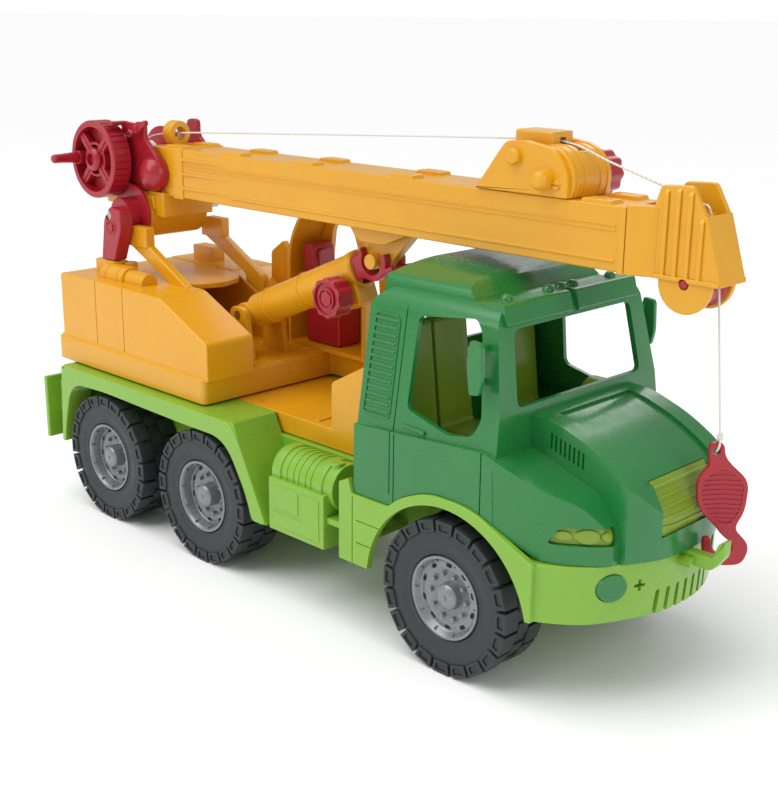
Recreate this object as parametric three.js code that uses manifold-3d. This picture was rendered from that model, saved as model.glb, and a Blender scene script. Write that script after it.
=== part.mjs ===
// Toy crane truck: a three-axle moulded plastic lorry that carries a slewing crane with a lifting,
// telescoping boom, a hand winch, a string and a hook.
// Millimetres, +X forwards, +Y to the driver's left, +Z up. Inside the truck group, lengths along X are
// measured from the front axle; the group is shifted so that the origin lies under the middle of the toy.
import * as THREE from "three";
import { mergeVertices } from "three/addons/utils/BufferGeometryUtils.js";
import Module from "manifold-3d";

const wasm = await Module();
wasm.setup();

// ---- driving dimensions ----
const FRONT_AXLE_X = 141.5; // from the origin to the front axle
const REAR_AXLES_X = [-220.5, -331.5]; // middle and rear axles, from the front axle
const WHEEL_RADIUS = 46;
const TYRE_WIDTH = 34;
const TYRE_SIDES = 20;
const RIM_RADIUS = 24.7;
const HALF_WIDTH = 81; // outer faces of the tyres and the fenders
const AXLE_RADIUS = 2.4;
const GAP = 0.4; // clearance between pieces that touch or run on each other
const WALL = 3; // moulded wall thickness

const DECK_TOP = 106.5;
const DECK_HALF_WIDTH = 42;
const FENDER_TOP = 106.5;
const ARCH_CENTRE_Z = 40;
const ARCH_RADIUS = 60;

const SLEW_X = -290; // turret axis
const TURRET_FLOOR = 107.5;
const TURRET_HALF_WIDTH = 72;

const BOOM_PIVOT = new THREE.Vector2(-360, 217); // X and Z of the pin the boom lifts about
const BOOM_HALF_WIDTH = 18;
const BOOM_BOTTOM = 231.5;
const BOOM_TOP = 266;
const BOOM_FRONT_X = 64;
const INNER_HALF_WIDTH = 14;

const LIFT_FOOT = new THREE.Vector2(-254, 156); // lower pivot of the lift tube
const LIFT_PIN = new THREE.Vector2(-130, 210); // pin on the underside of the boom
const LIFT_LENGTH = LIFT_FOOT.distanceTo(LIFT_PIN);
const LIFT_ANGLE = LIFT_PIN.clone().sub(LIFT_FOOT).angle();
const LIFT_TUBE_RADIUS = 12;
const LIFT_TUBE_END = 117;
const LIFT_ROD_RADIUS = 8;
const LIFT_PINION = new THREE.Vector2(104, -13.6); // along and across the tube

const WINCH = new THREE.Vector2(-384, 255);
const WHEEL_FACE_Y = -45; // outer face of the winch wheel
const WINCH_WHEEL_RADIUS = 28;
const DRUM_RADIUS = 8;

const TIP = new THREE.Vector2(97, 230); // tip pulley axle
const PULLEY_RADIUS = 14;
const STRING_RADIUS = 0.6;

// ---- solids from three.js geometry ----
function toSolid(geometry) {
  const bare = new THREE.BufferGeometry();
  bare.setAttribute("position", geometry.getAttribute("position"));
  bare.setIndex(geometry.index);
  const merged = mergeVertices(bare, 1e-4);
  const mesh = new wasm.Mesh({
    numProp: 3,
    vertProperties: new Float32Array(merged.attributes.position.array),
    triVerts: new Uint32Array(merged.index.array),
  });
  return new wasm.Manifold(mesh);
}

function toGeometry(solid) {
  const mesh = solid.getMesh();
  const geometry = new THREE.BufferGeometry();
  geometry.setAttribute("position", new THREE.BufferAttribute(mesh.vertProperties, 3));
  geometry.setIndex(new THREE.BufferAttribute(mesh.triVerts, 1));
  geometry.computeVertexNormals();
  return geometry;
}

const join = (solids) => solids.reduce((all, next) => all.add(next));
const cut = (solid, tools) => tools.reduce((rest, tool) => rest.subtract(tool), solid);

function box(x0, x1, y0, y1, z0, z1) {
  const geometry = new THREE.BoxGeometry(x1 - x0, y1 - y0, z1 - z0);
  return toSolid(geometry.translate((x0 + x1) / 2, (y0 + y1) / 2, (z0 + z1) / 2));
}

// A closed outline whose points are [a, b] or [a, b, cornerRadius]; a short edge makes its corners tighter.
function outline(points) {
  const shape = new THREE.Shape();
  const corners = points.map(([a, b]) => new THREE.Vector2(a, b));
  corners.forEach((corner, i) => {
    const before = corners.at(i - 1);
    const after = corners[(i + 1) % corners.length];
    const room = 0.45 * Math.min(corner.distanceTo(before), corner.distanceTo(after));
    const radius = Math.min(points[i][2] ?? 0, room);
    const from = before.clone().sub(corner).setLength(radius).add(corner);
    const to = after.clone().sub(corner).setLength(radius).add(corner);
    if (i) shape.lineTo(from.x, from.y);
    else shape.moveTo(from.x, from.y);
    if (radius) shape.quadraticCurveTo(corner.x, corner.y, to.x, to.y);
  });
  shape.closePath();
  return shape;
}

function extrude(points, depth) {
  return new THREE.ExtrudeGeometry(outline(points), { depth, bevelEnabled: false, curveSegments: 2 });
}

// Plates: an outline in XZ run along Y, in YZ run along X, and in XY run along Z.
function plateY(points, y0, y1) {
  return toSolid(extrude(points, y1 - y0).rotateX(Math.PI / 2).translate(0, y1, 0));
}

function plateX(points, x0, x1) {
  const turn = new THREE.Matrix4().makeBasis(
    new THREE.Vector3(0, 1, 0),
    new THREE.Vector3(0, 0, 1),
    new THREE.Vector3(1, 0, 0),
  );
  return toSolid(extrude(points, x1 - x0).applyMatrix4(turn).translate(x0, 0, 0));
}

function plateZ(points, z0, z1) {
  return toSolid(extrude(points, z1 - z0).translate(0, 0, z0));
}

const sidesOf = (radius) => (radius < 5 ? 8 : radius < 11 ? 12 : 20);

// Round bars along each axis.
function barY(x, z, radius, y0, y1) {
  const geometry = new THREE.CylinderGeometry(radius, radius, y1 - y0, sidesOf(radius));
  return toSolid(geometry.translate(x, (y0 + y1) / 2, z));
}

function barX(y, z, radius, x0, x1) {
  const geometry = new THREE.CylinderGeometry(radius, radius, x1 - x0, sidesOf(radius)).rotateZ(Math.PI / 2);
  return toSolid(geometry.translate((x0 + x1) / 2, y, z));
}

function barZ(x, y, radius, z0, z1) {
  const geometry = new THREE.CylinderGeometry(radius, radius, z1 - z0, sidesOf(radius)).rotateX(Math.PI / 2);
  return toSolid(geometry.translate(x, y, (z0 + z1) / 2));
}

// A profile of [radius, y] points, listed anticlockwise seen with y to the right, turned about Y.
function turnedY(profile, sides, startAngle = 0) {
  const points = profile.map(([radius, y]) => new THREE.Vector2(radius, y));
  return toSolid(new THREE.LatheGeometry(points, sides).rotateY(startAngle));
}

// Moves each edge of a convex outline inwards by a distance.
function inset(points, distance) {
  return points.map(([a, b, radius = 0], i) => {
    const here = new THREE.Vector2(a, b);
    const before = here.clone().sub(new THREE.Vector2(...points.at(i - 1).slice(0, 2))).normalize();
    const next = points[(i + 1) % points.length];
    const after = new THREE.Vector2(next[0], next[1]).sub(here).normalize();
    const half = (1 + before.dot(after)) / 2;
    const push = before.clone().add(after).multiplyScalar(0.5 / half);
    return [a - push.y * distance, b + push.x * distance, Math.max(radius - distance, 0)];
  });
}

// The same solid on the other side of the truck: Y is negated and each face is turned round.
function mirrored(solid) {
  const { vertProperties, triVerts } = solid.getMesh();
  const vertices = vertProperties.map((value, i) => (i % 3 === 1 ? -value : value));
  const faces = triVerts.map((value, i) => triVerts[i - (i % 3) + [0, 2, 1][i % 3]]);
  return new wasm.Manifold(new wasm.Mesh({ numProp: 3, vertProperties: vertices, triVerts: faces }));
}

const bothSides = (solid) => solid.add(mirrored(solid));

// ---- materials ----
const plastic = (color, roughness = 0.35) => new THREE.MeshStandardMaterial({ color, roughness, metalness: 0 });
const LIME = 0x7db53a;
const GREEN = 0x2f7f40;
const OLIVE = 0x6b8c22;
const YELLOW = 0xe2a526;
const RED = 0xa8303c;
const TYRE = 0x3b3f41;
const GREY = 0x8f9091;
const WHITE = 0xece8df;
const STEEL = 0xb5b8ba;

// Hangs a solid drawn in the group's own frame.
function add(group, name, solid, color, roughness) {
  const mesh = new THREE.Mesh(toGeometry(solid), plastic(color, roughness));
  mesh.name = name;
  group.add(mesh);
  return mesh;
}

// Hangs a solid drawn in the truck's frame, at the same place.
function addInPlace(group, name, solid, color, roughness) {
  const mesh = add(group, name, solid, color, roughness);
  truck.updateWorldMatrix(true, true);
  const toGroup = group.matrixWorld.clone().invert().multiply(truck.matrixWorld);
  mesh.geometry.applyMatrix4(toGroup);
  return mesh;
}

function place(parent, x, y, z) {
  const group = new THREE.Group();
  group.position.set(x, y, z);
  parent.add(group);
  return group;
}

// ---- chassis ----
const FENDER_OUTLINE = [
  [-390, 46, 3],
  [-386, FENDER_TOP, 12],
  [-184, FENDER_TOP, 12],
  [-152, 45, 5],
  [-166, 45, 3],
  [-172, 62, 8],
  [-192, 94, 16],
  [-240, 94, 8],
  [-330, 96, 10],
  [-374, 94, 20],
  [-384, 60, 10],
  [-386, 46],
];

function rearFenders() {
  const skirt = plateY(FENDER_OUTLINE, -HALF_WIDTH, -HALF_WIDTH + WALL);
  const top = box(-384, -184, -HALF_WIDTH + 1, -DECK_HALF_WIDTH - GAP, FENDER_TOP - WALL, FENDER_TOP);
  const frontWall = [
    [-184, FENDER_TOP],
    [-152, 45, 4],
    [-156, 45],
    [-188, FENDER_TOP - WALL],
  ];
  const front = plateY(frontWall, -HALF_WIDTH + 1, -44);
  const rear = box(-388, -385, -HALF_WIDTH + 1, -44, 60, FENDER_TOP - 2);
  return bothSides(join([skirt, top, front, rear]));
}

function frameTub() {
  const outer = box(-390, 70, -46, 46, 60, 93);
  const hollow = box(-386, 66, -46 + WALL, 46 - WALL, 59, 90);
  const axleBlocks = [...REAR_AXLES_X, 0].map((x) => box(x - 8, x + 8, -45, 45, 40, 92));
  const rearWall = box(-390, -386.5, -45, 45, 60, FENDER_TOP);
  return join([outer.subtract(hollow), ...axleBlocks, rearWall]);
}

function rearBumper() {
  const plate = box(-412, -408, -HALF_WIDTH, HALF_WIDTH, 44, 92);
  const arms = bothSides(box(-409, -385, -70, -48, 62, 88));
  return join([plate, arms]);
}

// Top edge of the lime panel that the cab sits on: the sill behind the wheel and the lip round the arch.
const LIP_TOP = [
  [-73, 89],
  [-44, 89, 3],
  [-34, 97, 7],
  [-14, 105.5, 12],
  [18, 105.5, 14],
  [48, 92, 8],
  [62, 86],
];

// Lower side of the front: the post, the sill panel, the lip round the arch and the bumper's side.
function frontArch() {
  const lip = [[-84, 45], [-84, 94], [-76, 98], ...LIP_TOP, [62, 53], [-20, 45]];
  const plate = plateY(lip, -HALF_WIDTH, -HALF_WIDTH + WALL + 1);
  const wheelRoom = barY(0, ARCH_CENTRE_Z, ARCH_RADIUS, -90, -60);
  return bothSides(plate.subtract(wheelRoom));
}

const BUMPER_PLAN = [
  [30, -HALF_WIDTH],
  [58, -HALF_WIDTH, 12],
  [84, -64, 14],
  [104, -22, 20],
  [104, 22, 20],
  [84, 64, 14],
  [58, HALF_WIDTH, 12],
  [30, HALF_WIDTH],
];

function bumper() {
  const shell = plateZ(BUMPER_PLAN, 53, 86).subtract(plateZ(inset(BUMPER_PLAN, 4), 50, 83));
  const wheelRoom = barY(0, ARCH_CENTRE_Z, ARCH_RADIUS, -90, 90);
  const slots = [-24, -16, -8, 0, 8, 16, 24].map((y) => box(94, 110, y - 1.8, y + 1.8, 50, 68));
  const lampSeats = bothSides(barX(-50, 73, 8, 60, 110));
  const bridge = box(50, 88, -40, 40, 62, 84);
  return join([cut(shell, [wheelRoom, ...slots, lampSeats]), bridge.subtract(wheelRoom)]);
}

function towProng() {
  const bar = [
    [98, 78.5],
    [122, 78.5, 3],
    [129, 88, 2],
    [129, 97, 1],
    [125, 95, 2],
    [122, 86, 2],
    [98, 86],
  ];
  return plateY(bar, -5, 2);
}

function sideBoxes() {
  const locker = box(-149, -98, -HALF_WIDTH, -66, 45, 80);
  const tank = barX(-62, 82, 15, -150, -94);
  const straps = join([-144, -106].map((x) => barX(-62, 82, 16, x - 3.5, x + 3.5)));
  const saddle = box(-150, -94, -66, -44, 62, 90);
  const foot = box(-98, -73, -60, -44, 62, 88);
  const brace = box(-98, -82, -78, -58, 62, 66);
  return bothSides(join([locker, tank, straps, saddle, foot, brace]));
}

function chassisFrame() {
  const axleHoles = [...REAR_AXLES_X, 0].map((x) => barY(x, WHEEL_RADIUS, AXLE_RADIUS + GAP, -60, 60));
  const whole = join([
    frameTub(),
    rearFenders(),
    rearBumper(),
    frontArch(),
    bumper(),
    towProng(),
    sideBoxes(),
    bothSides(box(-84, -60, -HALF_WIDTH + 2, -45, 62, 66)),
  ]);
  return cut(whole, [...axleHoles, ...screwShafts()]);
}

const DECK_SCREWS_X = [-100, -374];
const CAB_SCREWS_X = [40, -64];
const SCREW_RADIUS = 1.8;

function screwShafts() {
  return [...DECK_SCREWS_X, ...CAB_SCREWS_X].map((x) => barZ(x, 0, SCREW_RADIUS + GAP, 50, 110));
}

function screw() {
  const profile = [
    [0, 0],
    [4, 0],
    [4, 2.4],
    [SCREW_RADIUS, 2.6],
    [SCREW_RADIUS, 10],
    [0, 12],
  ];
  return turnedY(profile, 8);
}

function fogLamp(side) {
  return barX(side * 50, 73, 8 - GAP, 76, 91);
}

// ---- deck behind the cab ----
function deck() {
  const slab = box(-385, -75, -DECK_HALF_WIDTH, DECK_HALF_WIDTH, 93.4, DECK_TOP);
  const underside = box(-381, -79, -DECK_HALF_WIDTH + WALL, DECK_HALF_WIDTH - WALL, 92, 103);
  const gusset = [
    [-132, 104],
    [-132, 137],
    [-108, 150],
    [-78, 166],
    [-75, 166],
    [-75, 104],
  ];
  const gussets = bothSides(plateY(gusset, -DECK_HALF_WIDTH, -DECK_HALF_WIDTH + WALL));
  const slewSeat = barZ(SLEW_X, 0, 22, 97, DECK_TOP - 1);
  const slewHole = barZ(SLEW_X, 0, 12 + GAP, 80, 120);
  const screwPosts = join(DECK_SCREWS_X.map((x) => barZ(x, 0, 5, 93.4, 104)));
  const pilots = DECK_SCREWS_X.map((x) => barZ(x, 0, SCREW_RADIUS + GAP, 90, 103));
  return cut(join([cut(slab, [underside]), gussets, slewSeat, screwPosts]), [slewHole, ...pilots]);
}

// ---- cab ----
const CAB_WALL = 3;
const CAB_PLAN = [
  [-73, -79],
  [36, -79, 16],
  [66, -74, 14],
  [90, -56, 12],
  [107, -24, 14],
  [107, 24, 14],
  [90, 56, 12],
  [66, 74, 14],
  [36, 79, 16],
  [-73, 79],
];
const FENDER_SIDE = [
  [-73, 70],
  [92, 70],
  [91, 104, 6],
  [80, 119, 10],
  [48, 130, 14],
  [24, 138, 8],
  [-73, 132],
];
const HOOD_SIDE = [
  [-73, 70],
  [109, 70],
  [108, 106, 6],
  [95, 130, 10],
  [72, 144, 16],
  [46, 153, 8],
  [30, 154],
  [-73, 132],
];
const UPPER_SIDE = [
  [-73, 96],
  [33, 96],
  [30, 156],
  [21, 203],
  [18, 212, 3],
  [-62, 212, 4],
  [-73, 203, 4],
];
const UPPER_FRONT = [
  [-79, 96],
  [79, 96],
  [79, 130],
  [76, 133],
  [65, 205, 5],
  [58, 212, 4],
  [-58, 212, 4],
  [-65, 205, 5],
  [-76, 133],
  [-79, 130],
];

function lowerBody(depth) {
  const fenders = plateY(inset(FENDER_SIDE, depth), -HALF_WIDTH, HALF_WIDTH);
  const hood = plateY(inset(HOOD_SIDE, depth), -46 + depth, 46 - depth);
  return fenders.add(hood).intersect(plateZ(inset(CAB_PLAN, depth), 60, 200));
}

function upperBody(depth) {
  const side = plateY(inset(UPPER_SIDE, depth), -90, 90);
  return side.intersect(plateX(inset(UPPER_FRONT, depth), -80, 40));
}

function roofFairing(depth) {
  const across = [
    [-58, 200],
    [58, 200],
    [55, 217, 4],
    [28, 224, 16],
    [-28, 224, 16],
    [-55, 217, 4],
  ];
  const along = [
    [-71, 200],
    [0, 200],
    [-2, 212, 3],
    [-14, 221, 5],
    [-64, 226, 3],
    [-71, 218, 3],
  ];
  return plateX(inset(across, depth), -80, 10).intersect(plateY(inset(along, depth), -70, 70));
}

function windowCuts() {
  const door = [
    [-36, 148, 4],
    [-4, 140, 4],
    [13, 143, 4],
    [18, 153, 4],
    [11, 199, 5],
    [6, 205, 3],
    [-35, 200, 4],
  ];
  const screen = [
    [-57, 159, 5],
    [57, 159, 5],
    [53, 200, 5],
    [-53, 200, 5],
  ];
  const rear = [
    [-44, 168, 4],
    [44, 168, 4],
    [44, 200, 4],
    [-44, 200, 4],
  ];
  return [plateY(door, -90, 90), plateX(screen, 6, 50), plateX(rear, -80, -60)];
}

const LAMP_BOX = [58, 100, 47, 72, 98, 114];
const grilleWindow = (gap) =>
  plateY(inset([[83, 121], [104, 98], [116, 108], [98, 130]], gap), -27 + gap, 27 - gap);
const lampWindow = (gap) => {
  const [x0, x1, y0, y1, z0, z1] = LAMP_BOX;
  return bothSides(box(x0 + gap, x1 - gap, y0 + gap, y1 - gap, z0 + gap, z1 - gap));
};

function cabTrim() {
  const visor = [
    [8, 205],
    [20, 201],
    [23, 203],
    [20, 214, 2],
    [8, 214],
  ];
  const visors = bothSides(plateY(visor, 2.5, 60));
  const lamps = [-47, -11, 0, 11, 47].map((y) => barZ(11, y, 3.4, 210, 216.5));
  const mirror = box(13, 24, -HALF_WIDTH, -78, 168, 198);
  const arms = [172, 190].map((z) => box(12, 17, -79, -62, z, z + 4));
  return join([visors, ...lamps, bothSides(join([mirror, ...arms]))]);
}

function cabShell() {
  const outside = join([lowerBody(0), upperBody(0), roofFairing(0), cabTrim()]);
  const hollow = join([lowerBody(CAB_WALL), upperBody(CAB_WALL), roofFairing(CAB_WALL)]);
  const lipRoom = LIP_TOP.map(([x, z, r = 0]) => [x, z + GAP, r]);
  const below = plateY([[-80, 40], [-80, 89 + GAP], ...lipRoom, [120, 86 + GAP], [120, 40]], -90, 90);
  const tubRoom = box(-80, 80, -46 - GAP, 46 + GAP, 80, 93 + GAP);
  const rearPost = barZ(-64, 0, 4.6, 93.4, 128).add(box(-71, -64, -1.5, 1.5, 94, 128));
  const frontPost = barZ(40, 0, 4.6, 93.4, 151);
  const pilots = CAB_SCREWS_X.map((x) => barZ(x, 0, SCREW_RADIUS + GAP, 90, 103));
  const shell = cut(outside, [hollow, below, tubRoom, grilleWindow(0), lampWindow(0), ...windowCuts()]);
  return cut(join([shell, rearPost, frontPost]), pilots);
}

// The light green tray inside the cab: floor, seats, dashboard, and the grille and lamps seen from outside.
function cabInterior() {
  const floor = box(-68, 28, -70, 70, 110, 113);
  const seat = [
    [-60, 112],
    [-24, 112],
    [-24, 126, 4],
    [-48, 124, 3],
    [-56, 190, 4],
    [-64, 190, 3],
  ];
  const seats = [-62, -31, 31].map((y) => plateY(seat, y, y + (y === 31 ? 31 : 29)));
  const dash = plateY([[6, 112], [6, 138, 4], [14, 148, 3], [24, 151, 2], [24, 112]], -62, 62);
  const cowl = barX(32, 144, 13, 12, 24);
  const skins = lowerBody(1.5).subtract(lowerBody(6));
  const front = skins.intersect(grilleWindow(GAP).add(lampWindow(GAP)));
  const grilleBeams = bothSides(box(22, 99.5, 14, 20, 110, 116));
  const lampBeams = bothSides(box(22, 76, 52, 60, 108, 112));
  const lampBacks = bothSides(box(62, 78, 50, 62, 100, 112));
  const postHole = barZ(-64, 0, 5.4, 100, 130).add(box(-72, -64, -3, 3, 100, 130));
  return cut(join([floor, ...seats, dash, cowl, front, grilleBeams, lampBeams, lampBacks]), [postHole]);
}

// ---- wheels ----
// The tread is a ring of flats, one of which lies on the ground.
function tyre() {
  const half = TYRE_WIDTH / 2;
  const outer = WHEEL_RADIUS / Math.cos(Math.PI / TYRE_SIDES);
  const profile = [
    [RIM_RADIUS + 1, -half + 3],
    [40, -half],
    [outer, -half + 6],
    [outer, half - 6],
    [40, half],
    [RIM_RADIUS + 1, half - 3],
    [RIM_RADIUS + 1, -half + 3],
  ];
  return turnedY(profile, TYRE_SIDES, Math.PI / TYRE_SIDES);
}

// A dished disc with a hub; its outer face looks along -Y.
function rim() {
  const half = TYRE_WIDTH / 2;
  const bore = AXLE_RADIUS + GAP / 2;
  const profile = [
    [bore, -half + 5],
    [9, -half + 5],
    [20, -half + 8],
    [RIM_RADIUS - 1.5, -half + 2],
    [RIM_RADIUS, -half + 2],
    [RIM_RADIUS, half - 4],
    [20, -half + 12],
    [8, -half + 12],
    [7, half - 6],
    [bore, half - 6],
    [bore, -half + 5],
  ];
  return turnedY(profile, 12);
}

function axle() {
  return barY(0, 0, AXLE_RADIUS, -HALF_WIDTH + 6, HALF_WIDTH - 6);
}

function wheelSet(name, x) {
  const group = place(truck, x, 0, WHEEL_RADIUS);
  add(group, `${name}_axle`, axle(), STEEL, 0.3);
  for (const [side, sign] of [["right", -1], ["left", 1]]) {
    const wheel = place(group, 0, sign * (HALF_WIDTH - TYRE_WIDTH / 2), 0);
    add(wheel, `${name}_${side}_tyre`, tyre(), TYRE, 0.6);
    const face = sign < 0 ? rim() : mirrored(rim());
    add(wheel, `${name}_${side}_rim`, face, GREY, 0.45);
  }
}

// ---- turret ----
const TURRET_PLAN = [
  [-402, -TURRET_HALF_WIDTH, 5],
  [-224, -TURRET_HALF_WIDTH, 5],
  [-224, 44, 3],
  [-166, 44, 4],
  [-166, TURRET_HALF_WIDTH, 5],
  [-402, TURRET_HALF_WIDTH, 5],
];
const BAND_TOP = 125;
const BOX_TOP = 173;

function turretBox(front, y0, y1) {
  const side = [
    [-397, BAND_TOP - 2],
    [front, BAND_TOP - 2],
    [front, 149, 3],
    [front - 52, BOX_TOP, 3],
    [-397, BOX_TOP, 3],
  ];
  return plateY(side, y0, y1);
}

function turretBoxRoom(front, y0, y1) {
  const side = [
    [-394, 100],
    [front - WALL, 100],
    [front - WALL, 147],
    [front - 53, BOX_TOP - WALL],
    [-394, BOX_TOP - WALL],
  ];
  return plateY(side, y0 + WALL, y1 - WALL);
}

function mufflerDetail() {
  const big = barX(-50, BOX_TOP + 1, 9, -362, -334);
  const small = barX(-50, BOX_TOP + 1, 7, -335, -312);
  const cap = barZ(-352, -38, 5, BOX_TOP - 1, 183);
  return join([big, small, cap]);
}

function boomStays() {
  const bracket = box(-356, -331, -38, -30.5, 195, 210);
  const slope = [
    [-356, 197],
    [-331, 197],
    [-284, 172],
    [-284, 150],
    [-304, 150],
    [-304, 172],
  ];
  const strut = plateY(slope, -37, -31);
  const stub = box(-378, -354, -51, -38.5, 170, 184);
  const barrelRoom = barY(BOOM_PIVOT.x, BOOM_PIVOT.y, 13, -60, -20);
  return bothSides(join([bracket, strut, stub]).subtract(barrelRoom));
}

function liftEars() {
  const ear = [
    [-266, 120],
    [-238, 120],
    [-246, 162, 6],
    [-262, 162, 6],
  ];
  return bothSides(plateY(ear, 13.5, 18));
}

function turretBase() {
  const band = plateZ(TURRET_PLAN, TURRET_FLOOR, BAND_TOP);
  const bandRoom = plateZ(inset(TURRET_PLAN, WALL), 100, BAND_TOP - WALL);
  const boxes = [turretBox(-222, -70, -30), turretBox(-266, 30, 70)];
  const rooms = [turretBoxRoom(-222, -70, -30), turretBoxRoom(-266, 30, 70)];
  const rearDeck = box(-397, -296, -31, 31, BOX_TOP - 5, BOX_TOP - 1);
  const rearWall = box(-397, -393, -31, 31, BAND_TOP - 2, BOX_TOP - 1);
  const fin = plateY([[-304, 152], [-286, 152], [-286, 190, 2], [-290, 196, 2], [-304, 186, 3]], 56, 61);
  const kingPost = barZ(SLEW_X, 0, 12, 93.4, BAND_TOP - 1);
  const clipRoom = barZ(SLEW_X, 0, 13, 94.4, 96.8).subtract(barZ(SLEW_X, 0, 9.6, 90, 100));
  const liftPinHole = barY(LIFT_FOOT.x, LIFT_FOOT.y, 3 + GAP, -30, 30);
  const body = cut(band.add(join(boxes)), [bandRoom, ...rooms]);
  const parts = [body, rearDeck, rearWall, fin, kingPost, mufflerDetail(), boomStays(), liftEars()];
  return cut(join(parts), [clipRoom, liftPinHole]);
}

// A split ring under the deck that keeps the turret's post from lifting out.
function turretClip() {
  const ring = barZ(SLEW_X, 0, 17, 94.6, 96.6).subtract(barZ(SLEW_X, 0, 10, 90, 100));
  return ring.subtract(box(SLEW_X, SLEW_X + 20, -4, 4, 90, 100));
}

function operatorCab() {
  const side = [
    [-262, BAND_TOP + GAP],
    [-182, BAND_TOP + GAP],
    [-182, 196, 18],
    [-194, 228, 20],
    [-246, 228, 20],
    [-262, 200, 18],
  ];
  const room = inset(side, 3).map(([x, z, r]) => [x, z < 150 ? BAND_TOP + 4 : z, r]);
  const windowHole = [
    [-250, 165, 4],
    [-196, 165, 4],
    [-200, 214, 8],
    [-244, 214, 8],
  ];
  const shell = plateY(side, 36, 68).subtract(plateY(room, 30, 65));
  const frontHole = box(-190, -176, 42, 60, 165, 205);
  return cut(shell, [plateY(windowHole, 60, 72), frontHole]);
}

function operatorSeat() {
  const side = [
    [-248, BAND_TOP + 4.5],
    [-214, BAND_TOP + 4.5],
    [-214, 166, 5],
    [-236, 165, 3],
    [-242, 201, 4],
    [-252, 201, 3],
  ];
  return plateY(side, 42, 63);
}

// Red bracket that holds one end of the boom's pivot: a leg, a barrel and a thrust disc.
function boomBracket() {
  const { x, y: z } = BOOM_PIVOT;
  const leg = [
    [-371, 184.4],
    [-355, 184.4],
    [-345, 208],
    [-345, 222, 3],
    [-358, 224, 3],
    [-366, 214, 3],
  ];
  const plate = plateY(leg, -50, -39);
  const pinHead = barY(-357, 209, 3.2, -51.2, -49);
  const barrel = barY(x, z, 12, -40, -29);
  const disc = barY(x, z, 21, -29.6, -26.6);
  return join([plate, pinHead, barrel, disc]).subtract(barY(x, z, 3 + GAP, -60, 60));
}

// ---- boom ----
const RING_CENTRE_Z = 274.5;
const CLIP_XS = [-322, -258, -186, -98, 44];
const PINION = new THREE.Vector2(12, 275.3);
const PINION_RADIUS = 14; // pitch radius
const PINION_TEETH = 14;
const RACK_PITCH = (2 * Math.PI * PINION_RADIUS) / PINION_TEETH;
const RACK_PITCH_Z = PINION.y - PINION_RADIUS;

function boomHub() {
  const hub = barY(BOOM_PIVOT.x, BOOM_PIVOT.y, 18.5, -26, 26);
  const neck = box(-374, -330, -22, 22, 216, 234);
  const tail = plateZ([[-404, -24, 8], [-340, -24], [-340, 24], [-404, 24, 8]], 221, 231.2);
  return join([hub, neck, tail]);
}

function liftClevis() {
  const web = plateY([[-146, 233], [-137, 206, 4], [-124, 204, 4], [-96, 233]], -4, 4);
  return web.add(barY(LIFT_PIN.x, LIFT_PIN.y, 5, -11, 11));
}

function ropeClip(x) {
  const wing = plateY([[x - 11, 265.4], [x + 11, 265.4], [x + 9, 268.2], [x - 9, 268.2]], 7, 17);
  return bothSides(wing);
}

function outerBoom() {
  const tube = box(-350, BOOM_FRONT_X, -BOOM_HALF_WIDTH, BOOM_HALF_WIDTH, BOOM_BOTTOM, BOOM_TOP);
  const collar = box(-323, -311, -BOOM_HALF_WIDTH - 1, BOOM_HALF_WIDTH + 1, BOOM_BOTTOM - 1, BOOM_TOP + 0.8);
  const lip = box(BOOM_FRONT_X - 4, BOOM_FRONT_X, -BOOM_HALF_WIDTH - 0.8, BOOM_HALF_WIDTH + 0.8, 230.7, 266.2);
  const ribs = [239, 249, 259].map((z) =>
    bothSides(plateZ([[-312, 17], [-312, 19], [-262, 18.2], [-262, 17]], z - 0.7, z + 0.7)),
  );
  const room = box(-346, 70, -15, 15, 234.5, 263);
  const ring = barX(0, RING_CENTRE_Z, 9, -347, -337).subtract(barX(0, RING_CENTRE_Z, 4.8, -350, -330));
  const foot = box(-347, -337, -5, 5, 265, 268);
  const slot = box(PINION.x - 12, PINION.x + 12, -6.5, 6.5, 262, 268);
  const clips = CLIP_XS.map(ropeClip);
  const bossHoles = barY(-340, 247, 8 + GAP, -30, 30);
  const solid = join([tube, collar, lip, ...ribs, ring, foot, ...clips, boomHub(), liftClevis()]);
  const pinHole = barY(BOOM_PIVOT.x, BOOM_PIVOT.y, 3 + GAP, -40, 40);
  return cut(solid, [room, slot, bossHoles, pinHole]);
}

// Housing of the extension drive: two cheeks, the round cover of the pinion and the string saddle.
function driveHousing() {
  const base = BOOM_TOP + GAP;
  const cheek = [
    [-37, base],
    [27, base],
    [27, 280, 6],
    [18, 292, 6],
    [-2, 295, 3],
    [-16, 294, 4],
  ];
  const cheeks = [plateY(cheek, -20, -16), plateY(cheek, 16, 20)];
  const cover = barY(PINION.x, PINION.y, 17.5, -17, 17);
  const floor = box(-34, 26, -17, 17, base, base + 3);
  const room = barY(PINION.x, PINION.y, 15.9, -6.2, 6.2);
  const bore = barY(PINION.x, PINION.y, 3 + GAP, -19, 40);
  const below = box(-40, 40, -30, 30, 250, base);
  const saddle = plateX([[-9, 288], [9, 288], [9, 299.5, 1.5], [-9, 299.5, 1.5]], -18, 8);
  const tunnel = box(-20, 40, -2.5, 2.5, 289.8, 296.2);
  const web = box(-18, -6, -17, 17, base, 290);
  const smallBoss = barY(-9, 286, 4.6, -23.5, -19);
  const bigBoss = turnedY([[0, -28.5], [4.2, -27.4], [5.6, -25], [5.6, -19], [0, -19]], 12);
  const placed = bigBoss.translate([PINION.x, 0, PINION.y]);
  const solid = join([...cheeks, cover, floor, web, saddle, smallBoss, placed]);
  return cut(solid, [room, bore, below, tunnel]);
}

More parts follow.
